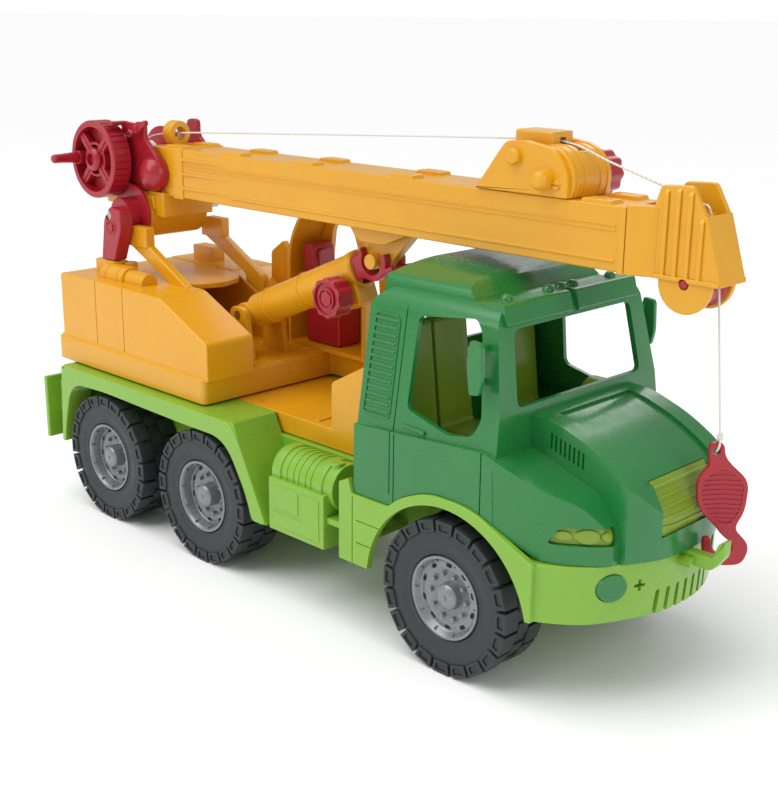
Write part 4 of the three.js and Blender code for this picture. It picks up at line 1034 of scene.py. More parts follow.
def make_cab_tray():
    floor = block(-68, 28, -70, 70, 110, 113)
    line = [(-60, 112), (-24, 112), (-24, 126, 4), (-48, 124, 3), (-56, 190, 4), (-64, 190, 3)]
    pads = []
    for y, width in ((-62, 29), (-31, 29), (31, 31)):
        seat = plate("Y", line, y, y + width, 1.4)
        back = plate(
            "X", [(y + 4, 130, 4), (y + width - 4, 130, 4), (y + width - 5, 184, 5), (y + 5, 184, 5)],
            -60, -48.5, 0.8,
        )
        tilt = Matrix.Rotation(math.radians(-7), 4, "Y")
        lean = Matrix.Translation((-52, 0, 130)) @ tilt @ Matrix.Translation((52, 0, -130))
        pads.append(joined(seat, moved(back, lean)))
    dash = plate("Y", [(6, 112), (6, 138, 4), (14, 148, 3), (24, 151, 2), (24, 112)], -62, 62, 0.9)
    cowl = bar("X", 32, 144, 13, 12, 24, 1.2, 40)
    skins = cut(lower_body(1.5), lower_body(6))
    front = joined(
        common(skins, grille_window(GAP)), common(cut(lower_body(2.4), lower_body(6)), lamp_window(GAP)),
    )
    bars = [
        moved(block(-3, 40, -26.4, 26.4, -0.55, 0.55, 0.3), Matrix.Translation((90, 0, z)))
        for z in (104, 109, 114, 119, 124)
    ]
    ribs = common(cut(lower_body(0.7), lower_body(3)), common(gathered(bars), grille_window(GAP)))
    lenses = gathered([bar("X", y, 102, r, 60, 100, 0, 32) for y, r in ((53, 2.6), (60.5, 3.9), (68, 2.4))])
    embossed = common(cut(lower_body(1.2), lower_body(4)), common(pair(lenses), lamp_window(GAP)))
    beams = gathered([pair(block(22, 99.5, 14, 20, 110, 116)), pair(block(22, 76, 52, 60, 108, 112))])
    backs = pair(block(62, 78, 50, 62, 100, 112))
    hole = joined(bar("Z", -64, 0, 5.4, 100, 130, 0), block(-72, -64, -3, 3, 100, 130, 0))
    whole = cut(joined(floor, *pads, dash, cowl, front, beams, backs, ribs, embossed), hole)
    finished("olive_cab_tray", "truck", ["cab_interior"], whole, polypropylene_olive(), sharp=42)


# ---- turret ----
TURRET_PLAN = [
    (-402, -TURRET_HALF, 5), (-224, -TURRET_HALF, 5), (-224, 44, 3),
    (-166, 44, 4), (-166, TURRET_HALF, 5), (-402, TURRET_HALF, 5),
]


def turret_box(front, y0, y1):
    line = [
        (-397, BAND_TOP - 2, 1), (front, BAND_TOP - 2, 1), (front, 149, 3),
        (front - 52, BOX_TOP, 3), (-397, BOX_TOP, 3),
    ]
    whole = plate("Y", line, y0, y1, 0.9)
    outer = y0 if y0 < 0 else y1
    sign = -1 if y0 < 0 else 1
    near, far = sorted((outer - sign * 0.7, outer + sign * 2))
    seams = [
        cutter("Y", [(x, 126), (x + 0.8, 126), (x + 0.8, 200), (x, 200)], near, far)
        for x in (-352, -318)
    ]
    return cut(whole, gathered(seams))


def turret_box_room(front, y0, y1):
    line = [(-394, 100), (front - 3, 100), (front - 3, 147), (front - 53, BOX_TOP - 3), (-394, BOX_TOP - 3)]
    return cutter("Y", line, y0 + 3, y1 - 3)


def muffler():
    big = bar("X", MUFFLER_Y, MUFFLER_Z, 9, -362, -334, 0.9, 40)
    small = bar("X", MUFFLER_Y, MUFFLER_Z, 7, -335, -312, 0.8, 36)
    rings = gathered([bar("X", MUFFLER_Y, MUFFLER_Z, 9.5, x - 0.9, x + 0.9, 0.4, 40) for x in (-355, -341)])
    cap = bar("Z", -352, -38, 5, BOX_TOP - 1, 183, 0.9, 28)
    return joined(big, small, rings, cap)


def boom_stays():
    bracket = block(-356, -331, -38, -30.5, 195, 210, 0.7)
    slope = [(-356, 197, 2), (-331, 197, 2), (-284, 172, 4), (-284, 150), (-304, 150), (-304, 172, 4)]
    strut = plate("Y", slope, -37, -31, 0.7)
    stub = block(-378, -354, -51, -38.5, 170, 184, 0.7)
    room = bar("Y", PIVOT_X, PIVOT_Z, 13, -60, -20, 0, 40)
    return cut(joined(bracket, strut, stub), room)


def make_turret():
    band = plate("Z", TURRET_PLAN, TURRET_FLOOR, BAND_TOP, 0.9)
    step = plate("Z", inset(TURRET_PLAN, 1.2), BAND_TOP - 4, BAND_TOP + 1.2, 0.7)
    band = cut(joined(band, step), cutter("Z", inset(TURRET_PLAN, 3), 100, BAND_TOP - 3))
    rooms = [turret_box_room(-222, -70, -30), turret_box_room(-266, 30, 70)]
    body = cut(joined(band, turret_box(-222, -70, -30), turret_box(-266, 30, 70)), *rooms)
    deck_line = [
        (-397, -31), (-312, -31), (-296, -18, 3), (-290, 0, 6), (-296, 18, 3), (-312, 31), (-397, 31),
    ]
    rear_deck = plate("Z", deck_line, BOX_TOP - 5, BOX_TOP - 1, 0.7)
    rear_wall = block(-397, -393, -31, 31, BAND_TOP - 2, BOX_TOP - 1)
    fin = plate(
        "Y", [(-304, 152), (-286, 152), (-286, 190, 2), (-290, 196, 2), (-304, 186, 3)], 56, 61, 0.8,
    )
    king_post = bar("Z", SLEW_X, 0, 12, 93.4, BAND_TOP - 1, 0.4, 48)
    ear = plate("Y", [(-266, 120), (-238, 120), (-246, 162, 6), (-262, 162, 6)], 13.5, 18, 0.6)
    stays = boom_stays()
    clip_room = cut(bar("Z", SLEW_X, 0, 13, 94.4, 96.8, 0, 48), bar("Z", SLEW_X, 0, 9.6, 90, 100, 0, 48))
    pin = bar("Y", LIFT_FOOT.x, LIFT_FOOT.z, PIN_ROOM, -30, 30, 0, 24)
    whole = joined(body, rear_deck, rear_wall, fin, king_post, muffler(), pair(stays), pair(ear))
    whole = cut(whole, clip_room, pin)
    finished("yellow_turret_moulding", "turret", ["turret_base"], whole, polypropylene_yellow())


def make_operator_cab():
    line = [
        (-262, BAND_TOP + GAP), (-182, BAND_TOP + GAP), (-182, 196, 18), (-194, 228, 20),
        (-246, 228, 20), (-262, 200, 18),
    ]
    room = [(x, BAND_TOP + 4 if z < 150 else z, r) for x, z, r in inset(line, 3)]
    window = [(-250, 165, 4), (-196, 165, 4), (-200, 214, 8), (-244, 214, 8)]
    shell = cut(plate("Y", line, 36, 68, 0.9), cutter("Y", room, 30, 65))
    frame_ring = cut(plate("Y", inset(window, -2.4), 66, 69, 0.6), cutter("Y", window, 60, 72))
    lines = gathered([
        plate("Y", [(x, 130), (x + 1.6, 130), (x + 1.6, 160), (x, 160)], 67, 68.8, 0.4)
        for x in (-240, -222, -204)
    ])
    shell = cut(joined(shell, frame_ring, lines), cutter("Y", window, 60, 72))
    shell = cut(shell, cutter("X", [(42, 165), (60, 165), (60, 205), (42, 205)], -190, -176))
    finished("yellow_operator_cab", "turret", ["operator_cab"], shell, polypropylene_yellow())
    seat = [
        (-248, BAND_TOP + 4.5), (-214, BAND_TOP + 4.5), (-214, 166, 5), (-236, 165, 3), (-242, 201, 4),
        (-252, 201, 3),
    ]
    pad = plate("X", [(45.5, 170, 3), (59.5, 170, 3), (59, 197, 4), (46, 197, 4)], -243, -238.6, 0.8)
    whole = joined(plate("Y", seat, 42, 63, 1.2), pad)
    finished("red_operator_seat", "turret", ["operator_seat"], whole, polypropylene_red())


def make_brackets():
    leg = [(-371, 184.4), (-355, 184.4), (-345, 208, 4), (-345, 222, 3), (-358, 224, 3), (-366, 214, 3)]
    body = plate("Y", leg, -50, -39, 0.9)
    pin_head = bar("Y", BRACKET_PIN_X, BRACKET_PIN_Z, 3.2, -51.2, -49, 0.5, 24)
    ring = cut(
        bar("Y", BRACKET_PIN_X, BRACKET_PIN_Z, 5.6, -50.5, -48, 0.3, 28),
        bar("Y", BRACKET_PIN_X, BRACKET_PIN_Z, 4.4, -52, -47, 0, 28),
    )
    barrel = turned(
        [(0, -40), (12, -40, 0.8), (12, -29), (21, -29.6), (21, -26.6, 0.8), (0, -26.6)],
        (PIVOT_X, 0, PIVOT_Z), 56,
    )
    hole = bar("Y", PIVOT_X, PIVOT_Z, PIN_ROOM, -60, 60, 0, 24)
    whole = cut(joined(body, pin_head, ring, barrel), hole)
    finished("red_boom_bracket_right", "turret", ["boom_bracket_right"], whole, polypropylene_red())
    finished("red_boom_bracket_left", "turret", ["boom_bracket_left"], mirrored(whole), polypropylene_red())


# ---- boom ----
CLIP_XS = (-322, -258, -186, -98, 44)


def make_boom():
    tube = block(-350, BOOM_FRONT_X, -BOOM_HALF, BOOM_HALF, BOOM_BOTTOM, BOOM_TOP, 0.9)
    collar = block(-323, -311, -BOOM_HALF - 1, BOOM_HALF + 1, BOOM_BOTTOM - 1, BOOM_TOP + 0.8, 0.8)
    lip = block(BOOM_FRONT_X - 4, BOOM_FRONT_X, -BOOM_HALF - 0.8, BOOM_HALF + 0.8, 230.7, 266.2, 0.6)
    ribs = [
        plate("Z", [(-312, 17), (-312, 19), (-258, 18.1), (-258, 17)], z - 1, z + 1, 0.3)
        for z in (239, 249, 259)
    ]
    ribs = pair(gathered(ribs))
    rail = pair(gathered([block(-310, 58, 17, 18.5, z - 0.55, z + 0.55, 0.2) for z in (253.4, 256)]))
    low_rail = pair(block(-258, 58, 17, 18.6, 236.4, 238.2, 0.4))
    clips = [
        plate(
            "Y", [(x - 11, 265.2), (x + 11, 265.2), (x + 9, 268.2, 0.8), (x - 9, 268.2, 0.8)], 7, 17, 0.5,
        )
        for x in CLIP_XS
    ]
    room = cutter("Z", [(-346, -15), (70, -15), (70, 15), (-346, 15)], 234.5, 263)
    guide = cut(bar("X", 0, 274.5, 9, -347, -337, 0.9, 44), bar("X", 0, 274.5, 4.8, -350, -330, 0, 32))
    foot = block(-347, -337, -5, 5, 265, 268, 0.3)
    hub = bar("Y", PIVOT_X, PIVOT_Z, 18.5, -26, 26, 0.9, 56)
    neck = block(-374, -330, -22, 22, 216, 234, 0.7)
    tail = plate("Z", [(-404, -24, 8), (-340, -24), (-340, 24), (-404, 24, 8)], 221, 231.2, 0.9)
    web = plate("Y", [(-146, 233), (-137, 206, 4), (-124, 204, 4), (-96, 233)], -4, 4, 0.6)
    cheeks = pair(plate("Y", [(-150, 233), (-141, 222, 4), (-118, 222, 4), (-92, 233)], 8, 11, 0.5))
    pin = bar("Y", LIFT_PIN.x, LIFT_PIN.z, 5, -11, 11, 0.7, 32)
    solid = joined(
        tube, collar, lip, ribs, rail, low_rail, pair(gathered(clips)), guide, foot, hub, neck, tail, web,
        cheeks, pin,
    )
    slot = cutter(
        "Z", [(PINION_X - 12, -6.5), (PINION_X + 12, -6.5), (PINION_X + 12, 6.5), (PINION_X - 12, 6.5)],
        262, 268,
    )
    bosses = bar("Y", DOME_X, DOME_Z, 8.4, -30, 30, 0, 40)
    solid = cut(solid, room, slot, bosses, bar("Y", PIVOT_X, PIVOT_Z, PIN_ROOM, -40, 40, 0, 24))
    finished("yellow_outer_boom", "boom", ["outer_boom"], solid, polypropylene_yellow())


def make_drive():
    base = BOOM_TOP + GAP
    line = [(-37, base), (27, base), (27, 280, 6), (18, 292, 6), (-2, 295, 3), (-16, 294, 4)]
    cheeks = pair(plate("Y", line, 16, 20, 0.8))
    cover = bar("Y", PINION_X, PINION_Z, 17.5, -17, 17, 0.9, 56)
    bands = gathered([
        bar("Y", PINION_X, PINION_Z, 18.1, y, y + 1.6, 0.4, 56)
        for y in (-14, -7.6, 6, 12.4)
    ])
    floor = block(-34, 26, -17, 17, base, base + 3, 0.4)
    web = block(-18, -6, -17, 17, base, 290, 0.6)
    saddle = plate("X", [(-9, 288), (9, 288), (9, 299.5, 1.5), (-9, 299.5, 1.5)], -18, 8, 0.8)
    small = turned([(0, -23.5), (3.6, -23.5, 1), (4.6, -22.6, 0.8), (4.6, -19), (0, -19)], (-9, 0, 286), 32)
    big = turned(
        [(0, -28.5), (4.2, -27.6, 1.6), (5.6, -25, 1.4), (6, -19), (0, -19)], (PINION_X, 0, PINION_Z), 36,
    )
    screw_head = cut(bar("Y", 20, 273, 2.6, -21, -19, 0.5, 24), block(17, 23, -22, -20.2, 272.6, 273.4, 0))
    solid = joined(cheeks, cover, bands, floor, web, saddle, small, big, screw_head)
    room = bar("Y", PINION_X, PINION_Z, 15.9, -6.2, 6.2, 0, 48)
    bore = bar("Y", PINION_X, PINION_Z, 3.4, -19, 40, 0, 24)
    below = cutter("Z", [(-40, -30), (40, -30), (40, 30), (-40, 30)], 250, base)
    tunnel = cutter("Z", [(-20, -2.5), (40, -2.5), (40, 2.5), (-20, 2.5)], 289.8, 296.2)
    finished(
        "yellow_drive_housing", "boom", ["drive_housing"], cut(solid, room, bore, below, tunnel),
        polypropylene_yellow(),
    )
    knob = scalloped_knob(21, 35, 1)
    at = Matrix.Translation((PINION_X, 0, PINION_Z))
    shaft = bar("Y", 0, 0, 3, -14, 22, 0.3, 24)
    teeth = plate("Y", gear_line(14, 14, 1.2, 1.6), -5, 5, 0.2)
    finished(
        "red_extension_knob", "extension_knob", ["extension_knob"], joined(shaft, teeth, knob),
        polypropylene_red(), at=at,
    )


def gear_line(teeth, pitch_radius, rise, fall):
    """The outline of a gear with straight-sided teeth."""
    line = []
    for i in range(teeth):
        for share, height in ((-0.26, -fall), (-0.12, rise), (0.12, rise), (0.26, -fall)):
            angle = (i + share) * 2 * math.pi / teeth
            line.append((
                (pitch_radius + height) * math.cos(angle), (pitch_radius + height) * math.sin(angle), 0,
            ))
    return line


def scalloped_knob(low, high, outward):
    """A ten-lobed finger knob whose outer face is at the low end for -1 and the high end for 1."""
    line = []
    for i in range(120):
        angle = i / 120 * 2 * math.pi
        reach = KNOB_RADIUS * (0.985 - 0.09 * (1 - math.cos(10 * angle)) / 2)
        line.append((reach * math.cos(angle), reach * math.sin(angle), 0))
    face = high if outward > 0 else low
    inner, outer = sorted((face - outward * 1.4, face + outward * 3))
    dish = cut(bar("Y", 0, 0, 10.4, inner, outer, 0, 48), bar("Y", 0, 0, 7.2, inner - 1, outer + 1, 0, 40))
    low_hex, high_hex = sorted((face - outward * 1.2, face + outward * 3))
    hexagon = [
        (5 * math.cos(math.radians(60 * i)), 5 * math.sin(math.radians(60 * i)), 0)
        for i in range(6)
    ]
    ring = cut(
        bar("Y", 0, 0, 5.9, low_hex, high_hex, 0, 40), cutter("Y", hexagon, low_hex - 1, high_hex + 1),
    )
    return cut(plate("Y", line, low, high, 0.9), dish, ring)


def make_head():
    plan = [
        (64.4, -18.6, 0.6), (67, -18.6, 1), (80, -12.5, 1), (80, 12.5, 1), (67, 18.6, 1),
        (64.4, 18.6, 0.6),
    ]
    funnel = plate("Z", plan, 231, 267.5, 0.8)
    line = [(77, 231), (118, 231, 1), (107, 264, 2), (98, 279.5, 2.5), (80, 278.5, 2.5), (76, 266)]
    half = joined(plate("Y", line, -12.5, -9, 0.7), bar("Y", TIP_X, TIP_Z, 15.5, -12.5, -9, 0.7, 56))
    ribs = []
    for x, top in ((84, 277), (91, 278), (98, 277), (105, 264)):
        ribs.append(
            plate(
                "X", [(-13.9, 233, 0.5), (-12.2, 233), (-12.2, top), (-13.9, top - 1.8, 0.6)], x - 1.3,
                x + 1.3, 0.45,
            )
        )
    sill = block(78, 117, -13.9, -12.2, 231, 233.4, 0.4)
    side = joined(half, gathered(ribs), sill)
    nose = plate("Y", [(115, 231), (118, 231, 0.6), (107, 265.5, 0.8), (104, 264)], -12.5, 12.5, 0.6)
    guide = bar("Y", 97, 262, 2.2, -10, 10, 0.2, 24)
    tenon = block(44, 66, -11, 11, 238.6, 256.2)
    room = cut(
        cutter("Z", [(69, -9), (96, -9), (96, 9), (69, 9)], 236, 270),
        bar("Y", 97, 262, 2.2, -10, 10, 0, 24),
    )
    solid = joined(funnel, side, mirrored(side), nose, guide, tenon)
    solid = cut(solid, room, bar("Y", TIP_X, TIP_Z, 2.9, -20, 20, 0, 24))
    finished("yellow_boom_head", "inner_boom", ["boom_head"], solid, polypropylene_yellow())
    profile = [
        (2.9, -8.4), (14, -8.4, 0.5), (14, -6, 0.5), (12, -3, 1), (12, 3, 1), (14, 6, 0.5),
        (14, 8.4, 0.5), (2.9, 8.4),
    ]
    at = Matrix.Translation((TIP_X, 0, TIP_Z))
    finished(
        "red_tip_pulley", "tip_pulley", ["tip_pulley"], turned(profile, sides=64), polypropylene_red(),
        at=at,
    )
    pin = turned([(0, -13.8), (2, -13.4, 0.6), (2.5, -12.6), (2.5, 13.4), (0, 13.4)], sides=28)
    finished("red_pulley_axle", "inner_boom", ["pulley_axle"], pin, polypropylene_red(), at=at)


# ---- winch ----
def make_winch_frame():
    line = [
        (-399, 247, 6), (-396, 267, 8), (-378, 272, 4), (-362, 272, 3), (-358, 283, 4), (-346, 283, 4),
        (-346, 272, 3), (-328, 256, 8), (-330, 236, 8), (-352, 235, 6), (-384, 240, 6),
    ]
    near = cut(plate("Y", line, -25.6, -22, 0.7), cutter("Y", inset(line, 2), -27, -24.9))
    ridges = gathered([
        cut(
            bar("Y", DOME_X, DOME_Z, r, -25.5, -24, 0.2, 48),
            bar("Y", DOME_X, DOME_Z, r - 0.9, -27, -23, 0, 48),
        )
        for r in (16, 19)
    ])
    ridges = common(ridges, cutter("Y", inset(line, 1), -27, -23))
    far = plate("Y", line, 22, 25.6, 0.7)
    tie = block(-358, -353.6, -25, 25, 238, 258)
    boss = bar("Y", DOME_X, DOME_Z, 8, -25, -15.5, 0.5, 40)
    dome = turned(
        [(0, -32), (6, -31, 3), (10.5, -28, 3), (12.6, -24, 2), (12.6, -18.6), (0, -18.6)],
        (DOME_X, 0, DOME_Z), 56,
    )
    solid = joined(near, ridges, far, tie, pair(boss), pair(dome))
    holes = [bar("Y", WINCH_X, WINCH_Z, 4.4, -40, 40, 0, 28), bar("Y", PAWL_X, PAWL_Z, 2.4, -40, -10, 0, 20)]
    finished("red_winch_frame", "boom", ["winch_frame"], cut(solid, *holes), polypropylene_red())


def make_winch():
    at = Matrix.Translation((WINCH_X, 0, WINCH_Z))
    profile = [
        (0, -44.6), (4, -44.6, 0.5), (4, -19), (21, -18.6), (21, -16, 0.5), (8, -14),
        (8, 14), (21, 16, 0.5), (21, 18.6), (4, 19), (4, 27.5, 0.5), (0, 27.5),
    ]
    finished(
        "red_winch_drum", "winch", ["winch_drum"], turned(profile, sides=64), polypropylene_red(), at=at,
    )
    outer, inner = -45, -30
    rim = cut(bar("Y", 0, 0, 28, outer, inner, 0.9, 80), bar("Y", 0, 0, 23.5, outer - 1, outer + 8, 0, 72))
    hub = turned(
        [(0, outer - 2), (6.4, outer - 2, 0.8), (8.5, outer, 1), (8.5, inner), (0, inner)], sides=48,
    )
    hub_ring = cut(
        bar("Y", 0, 0, 12.6, outer + 2, outer + 9, 0.5, 48),
        bar("Y", 0, 0, 10.8, outer, outer + 12, 0, 48),
    )
    spokes = []
    for degrees in (45, 135):
        spoke = block(-25, 25, outer + 2, outer + 7, -3.5, 3.5, 0.6)
        ridge = block(-24, 24, outer + 1.3, outer + 3, -0.9, 0.9, 0.3)
        spokes.append(moved(joined(spoke, ridge), Matrix.Rotation(math.radians(degrees), 4, "Y")))
    teeth = plate("Y", gear_line(18, 20.6, 1.6, 1.2), inner - 1, inner + 3.4, 0.3)
    boss = bar("Y", CRANK_X, 0, 5, outer, outer + 9, 0.5, 32)
    notches = ringed(
        cutter("Y", [(-0.5, -28.6), (0.5, -28.6), (0.5, -27.3), (-0.5, -27.3)], outer + 2, inner - 2), 36,
    )
    wheel = joined(rim, hub, hub_ring, *spokes, boss, teeth)
    wheel = cut(
        wheel, bar("Y", 0, 0, 4.4, outer - 5, inner + 5, 0, 28),
        bar("Y", CRANK_X, 0, 2.6, outer - 1, outer + 8, 0, 24), notches,
    )
    finished("red_winch_wheel", "winch", ["winch_wheel"], wheel, polypropylene_red(), at=at)
    handle = turned([
        (0, -66), (2.4, -66, 0.8), (3.2, -64.5, 0.8), (3.3, -58, 2), (4, -48, 2), (4.2, -45.4, 0.4),
        (2.2, -45.4), (2.2, -38), (0, -38),
    ], sides=32)
    finished(
        "red_crank_handle", "winch", ["crank_handle"], handle, polypropylene_red(),
        at=at @ Matrix.Translation((CRANK_X, 0, 0)),
    )
    turns = []
    for i in range(900):
        angle = 2 * math.pi * i / 60
        turns.append(Vector((10.2 * math.cos(angle), -7.6 + 15.2 * i / 899, 10.2 * math.sin(angle))))
    core = turned([(8.4, -8), (10.1, -7.8), (10.1, 7.8), (8.4, 8)], sides=40, soft=0.1)
    wrap = joined(core, tube(turns, 0.58, 8))
    finished("string_wound_on_the_drum", "winch", ["string_wrap"], wrap, twisted_string(), sharp=60, at=at)


def make_pawl():
    line = [
        (-369, 280, 1), (-369, 283, 1), (-350, 282, 2), (-340, 285, 1), (-339, 282, 1), (-350, 274.5, 2),
        (-363, 278, 1), (-367, 274, 1),
    ]
    arm = plate("Y", line, -29.4, -26, 0.6)
    tab = block(-370, -363, -41, -26, 280.2, 283, 0.7)
    stub = bar("Y", PAWL_X, PAWL_Z, 2, -27, -20.5, 0.3, 20)
    cap = bar("Y", PAWL_X, PAWL_Z, 3.4, -30.4, -28, 0.6, 24)
    finished("red_pawl_lever", "pawl", ["pawl_lever"], joined(arm, tab, stub, cap), polypropylene_red())


# ---- lift cylinder, drawn along its own X from the foot pivot ----
def make_lift():
    seat = Matrix.Translation(LIFT_FOOT) @ Matrix.Rotation(-LIFT_ANGLE, 4, "Y")
    pinion_x, pinion_z = 104, -13.6
    body = bar("X", 0, 0, 12, 4, 117, 0.9, 56)
    bands = gathered([bar("X", 0, 0, 12.7, x, x + w, 0.5, 56) for x, w in ((20, 2.4), (60, 1.6), (110, 6))])
    eye = common(bar("Y", 0, 0, 8, -12.6, 12.6, 0.6, 40), block(-12, 12, -13, 13, -9, 9, 0))
    housing = block(pinion_x - 12, pinion_x + 11, -9, 9, -22.5, -6, 1.4)
    tools = [
        bar("X", 0, 0, 8.4, 12, 122, 0, 48), block(12, 122, -3.6, 3.6, -10.2, 0, 0),
        bar("Y", pinion_x, pinion_z, 7.4, -5.4, 5.4, 0, 32),
        bar("Y", pinion_x, pinion_z, 3, -20, 20, 0, 24),
        bar("Y", 0, 0, PIN_ROOM, -20, 20, 0, 24),
    ]
    finished(
        "yellow_lift_tube", "lift_tube", ["lift_tube"], cut(joined(body, bands, eye, housing), *tools),
        polypropylene_yellow(), at=seat,
    )
    rod = cut(bar("X", 0, 0, 8, 22, 123, 0.6, 40), block(46, 113, -3.3, 3.3, -10, -6.7, 0))
    pitch = 2 * math.pi * 5.6 / 8
    teeth = []
    for i in range(-12, 2):
        x = pinion_x + (i + 0.5) * pitch
        line = [
            (x - 0.5, pinion_z + 4.8, 0), (x + 0.5, pinion_z + 4.8, 0), (x + 1.1, pinion_z + 7.2, 0),
            (x - 1.1, pinion_z + 7.2, 0),
        ]
        teeth.append(cutter("Y", line, -3, 3))
    ring = bar("Y", LIFT_LENGTH, 0, 12.6, -9.5, 9.5, 0.8, 56)
    lip = block(LIFT_LENGTH + 7, LIFT_LENGTH + 16, -9.5, 9.5, -10.6, -7.4, 0.6)
    fork_tools = [
        bar("Y", LIFT_LENGTH, 0, 8.8, -20, 20, 0, 40),
        block(LIFT_LENGTH - 6, LIFT_LENGTH + 20, -20, 20, 1, 20, 0),
        block(120, LIFT_LENGTH + 20, -4.6, 4.6, -30, 30, 0),
    ]
    collar = block(117.4, 126, -9.5, 9.5, -8, 7.5, 0.7)
    whole = joined(rod, gathered(teeth), collar, cut(joined(ring, lip), *fork_tools))
    finished("red_lift_rod", "lift_rod", ["lift_rod"], whole, polypropylene_red(), at=seat)
    shaft = bar("Y", 0, 0, 2.6, -14, 8, 0.3, 24)
    pinion = plate("Y", gear_line(8, 5.6, 0.8, 1.2), -5, 5, 0.15)
    knob = joined(shaft, pinion, scalloped_knob(-27, -14, -1))
    at = seat @ Matrix.Translation((pinion_x, 0, pinion_z))
    finished("red_lift_knob", "lift_knob", ["lift_knob"], knob, polypropylene_red(), at=at)


# ---- hook ----
HOOK_LINE = [
    (-4, -3, 3), (-3, -8, 3), (-9, -16, 8), (-8, -32, 8), (3, -43, 5), (6, -47, 3), (13, -53, 4),
    (12, -58, 4), (5, -59, 4), (1.5, -54, 3), (1, -49, 1.5), (-3, -49, 1.5), (-3.5, -58, 6),
    (5, -65.5, 8), (19, -65, 8), (22.5, -54, 8), (13, -44, 4), (18, -34, 9), (19, -17, 9), (9, -8, 5),
    (5, -3, 3), (4, 4.5, 3.5), (-4, 4.5, 3.5),
]


def make_hook():
    at = Matrix.Translation(HOOK_EYE) @ Matrix.Rotation(math.radians(45), 4, "Z")
    whole = plate("Y", HOOK_LINE, -2, 2, 0.8)
    pocket_line = [
        (-6.2, -17, 6), (-5.4, -31, 7), (4.6, -40.4, 3), (10.5, -41, 3), (15.4, -33, 7), (16.4, -18, 8),
        (8, -10.6, 4), (1, -10.6, 4),
    ]
    pocket = gathered([cutter("Y", pocket_line, -3, -1.3), cutter("Y", pocket_line, 1.3, 3)])
    whole = cut(whole, pocket)
    ribs = []
    for i in range(11):
        z = -12 - 2.7 * i
        bend = [
            (-12, z - 2.2), (-4, z - 0.6), (5, z), (14, z - 0.6), (24, z - 2.2), (24, z - 3.3),
            (14, z - 1.7), (5, z - 1.1), (-4, z - 1.7), (-12, z - 3.3),
        ]
        ribs.append(cutter("Y", [(x, z2 + 1.2, 0) for x, z2 in bend], -1.85, 1.85))
    ribs = common(gathered(ribs), cutter("Y", inset(pocket_line, -0.4), -4, 4))
    whole = cut(joined(whole, ribs), bar("Y", 0, 0, 2.2, -5, 5, 0, 28))
    finished("red_hook", "hook", ["hook"], whole, polypropylene_red(), at=at)
    loop, coil = [], []
    for i in range(33):
        angle = math.pi * (i / 16 - 1)
        loop.append(
            Vector((0.75 * (1 - math.cos(angle)), 3.1 * math.sin(angle), 3.2 - 3.6 * math.cos(angle)))
        )
    for i in range(61):
        angle = 2 * math.pi * i / 20
        coil.append(Vector((1.5 + 1.05 * math.cos(angle), 1.05 * math.sin(angle), 5.2 + 3.75 * i / 60)))
    core = bar("Z", 1.5, 0, 0.9, 5, 9, 0.3, 12)
    knot = joined(tube(loop, 0.6, 8), tube(coil, 0.6, 8), core)
    knot = finished("string_knot_and_eye_loop", "hook", [], knot, twisted_string(), sharp=60, at=at)
    make_hanging_string(knot)


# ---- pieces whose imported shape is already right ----
def finish_plain_nodes():
    """New materials on the screws, axles, pins, clip and hidden boom."""
    finishes = {
        drawn_steel(): [
            "deck_screw_1", "deck_screw_2", "cab_screw_1", "cab_screw_2",
            "front_axle", "middle_axle", "rear_axle", "boom_pivot_pin", "lift_foot_pin",
        ],
        white_acetal(): ["turret_clip"],
        polypropylene_yellow(): ["inner_boom"],
    }
    for material, names in finishes.items():
        for name in names:
            mesh = bpy.data.objects[name].data
            mesh.materials.clear()
            mesh.materials.append(material)


# ---- add-on ----
class CRANE_OT_stage(bpy.types.Operator):
    """Make the camera, the card floor and the studio lamps"""
    bl_idname = "crane.stage"
    bl_label = "Stage"

    def execute(self, context):
        make_camera()
        make_stage()
        return {"FINISHED"}


class CRANE_OT_string(bpy.types.Operator):
    """Make the string over the boom"""
    bl_idname = "crane.string"
    bl_label = "String"

    def execute(self, context):
        make_string_over_boom()
        return {"FINISHED"}


class CRANE_OT_hook(bpy.types.Operator):
    """Make the hook, its knot and the string they hang on"""
    bl_idname = "crane.hook"
    bl_label = "Hook"

    def execute(self, context):
        make_hook()
        return {"FINISHED"}


class CRANE_OT_wheels(bpy.types.Operator):
    """Make the six tyres and rims"""
    bl_idname = "crane.wheels"
    bl_label = "Wheels"

    def execute(self, context):
        make_wheels()
        return {"FINISHED"}


class CRANE_OT_chassis(bpy.types.Operator):
    """Make the lime chassis moulding and the fog lamps"""
    bl_idname = "crane.chassis"
    bl_label = "Chassis"

    def execute(self, context):
        make_chassis()
        return {"FINISHED"}


class CRANE_OT_deck(bpy.types.Operator):
    """Make the yellow deck behind the cab"""
    bl_idname = "crane.deck"
    bl_label = "Deck"

    def execute(self, context):
        make_deck()
        return {"FINISHED"}


class CRANE_OT_cab(bpy.types.Operator):
    """Make the green cab moulding"""
    bl_idname = "crane.cab"
    bl_label = "Cab"

    def execute(self, context):
        make_cab()
        return {"FINISHED"}


class CRANE_OT_tray(bpy.types.Operator):
    """Make the olive tray with seats, grille and headlamps"""
    bl_idname = "crane.tray"
    bl_label = "Cab tray"

    def execute(self, context):
        make_cab_tray()
        return {"FINISHED"}


class CRANE_OT_turret(bpy.types.Operator):
    """Make the turret moulding"""
    bl_idname = "crane.turret"
    bl_label = "Turret"

    def execute(self, context):
        make_turret()
        return {"FINISHED"}


class CRANE_OT_operator_cab(bpy.types.Operator):
    """Make the operator's cab and seat"""
    bl_idname = "crane.operator_cab"
    bl_label = "Operator's cab"

    def execute(self, context):
        make_operator_cab()
        return {"FINISHED"}


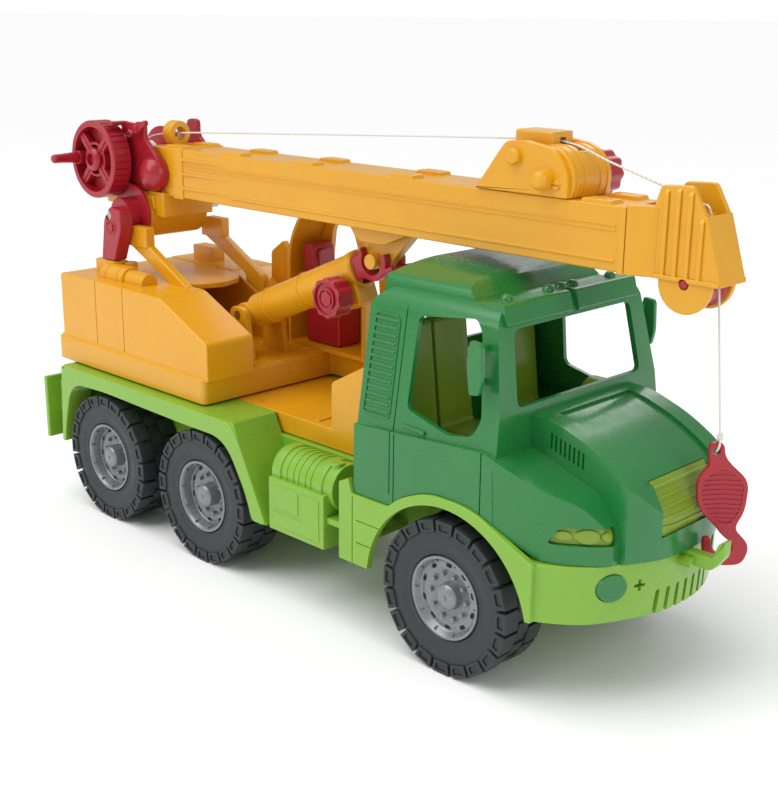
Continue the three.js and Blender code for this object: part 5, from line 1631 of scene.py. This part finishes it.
class CRANE_OT_brackets(bpy.types.Operator):
    """Make the two brackets that hold the boom"""
    bl_idname = "crane.brackets"
    bl_label = "Boom brackets"

    def execute(self, context):
        make_brackets()
        return {"FINISHED"}


class CRANE_OT_boom(bpy.types.Operator):
    """Make the outer boom"""
    bl_idname = "crane.boom"
    bl_label = "Boom"

    def execute(self, context):
        make_boom()
        return {"FINISHED"}


class CRANE_OT_drive(bpy.types.Operator):
    """Make the drive housing and its knob"""
    bl_idname = "crane.drive"
    bl_label = "Extension drive"

    def execute(self, context):
        make_drive()
        return {"FINISHED"}


class CRANE_OT_head(bpy.types.Operator):
    """Make the boom head, its pulley and axle"""
    bl_idname = "crane.head"
    bl_label = "Boom head"

    def execute(self, context):
        make_head()
        return {"FINISHED"}


class CRANE_OT_winch_frame(bpy.types.Operator):
    """Make the winch frame"""
    bl_idname = "crane.winch_frame"
    bl_label = "Winch frame"

    def execute(self, context):
        make_winch_frame()
        return {"FINISHED"}


class CRANE_OT_winch(bpy.types.Operator):
    """Make the drum, wheel, handle and wound string"""
    bl_idname = "crane.winch"
    bl_label = "Winch"

    def execute(self, context):
        make_winch()
        return {"FINISHED"}


class CRANE_OT_pawl(bpy.types.Operator):
    """Make the pawl lever"""
    bl_idname = "crane.pawl"
    bl_label = "Pawl lever"

    def execute(self, context):
        make_pawl()
        return {"FINISHED"}


class CRANE_OT_lift(bpy.types.Operator):
    """Make the lift tube, rod and knob"""
    bl_idname = "crane.lift"
    bl_label = "Lift cylinder"

    def execute(self, context):
        make_lift()
        return {"FINISHED"}


class CRANE_OT_plain_nodes(bpy.types.Operator):
    """Finish the screws, axles, pins and inner boom"""
    bl_idname = "crane.plain_nodes"
    bl_label = "Pins and axles"

    def execute(self, context):
        finish_plain_nodes()
        return {"FINISHED"}


OPERATORS = (
    CRANE_OT_stage, CRANE_OT_string, CRANE_OT_hook, CRANE_OT_wheels, CRANE_OT_chassis, CRANE_OT_deck,
    CRANE_OT_cab, CRANE_OT_tray, CRANE_OT_turret, CRANE_OT_operator_cab, CRANE_OT_brackets,
    CRANE_OT_boom, CRANE_OT_drive, CRANE_OT_head, CRANE_OT_winch_frame, CRANE_OT_winch, CRANE_OT_pawl,
    CRANE_OT_lift, CRANE_OT_plain_nodes,
)


class CRANE_PT_panel(bpy.types.Panel):
    """Sizes, colours and pieces of the toy crane truck"""
    bl_idname = "CRANE_PT_panel"
    bl_label = "Crane truck"
    bl_space_type = "VIEW_3D"
    bl_region_type = "UI"
    bl_category = "Crane truck"

    def draw(self, context):
        layout = self.layout
        for group in (context.scene.crane_sizes, context.scene.crane_colours):
            box = layout.box()
            for key in group.bl_rna.properties.keys():
                if key not in ("rna_type", "name"):
                    box.prop(group, key)
        column = layout.column()
        for operator in OPERATORS:
            column.operator(operator.bl_idname)


CLASSES = (CraneSizes, CraneColours, *OPERATORS, CRANE_PT_panel)


def register():
    for cls in CLASSES:
        bpy.utils.register_class(cls)
    bpy.types.Scene.crane_sizes = bpy.props.PointerProperty(type=CraneSizes)
    bpy.types.Scene.crane_colours = bpy.props.PointerProperty(type=CraneColours)


def unregister():
    del bpy.types.Scene.crane_colours
    del bpy.types.Scene.crane_sizes
    for cls in reversed(CLASSES):
        bpy.utils.unregister_class(cls)


def main():
    register()
    for operator in OPERATORS:
        getattr(bpy.ops.crane, operator.bl_idname.split(".")[1])()


if __name__ == "__main__":
    main()
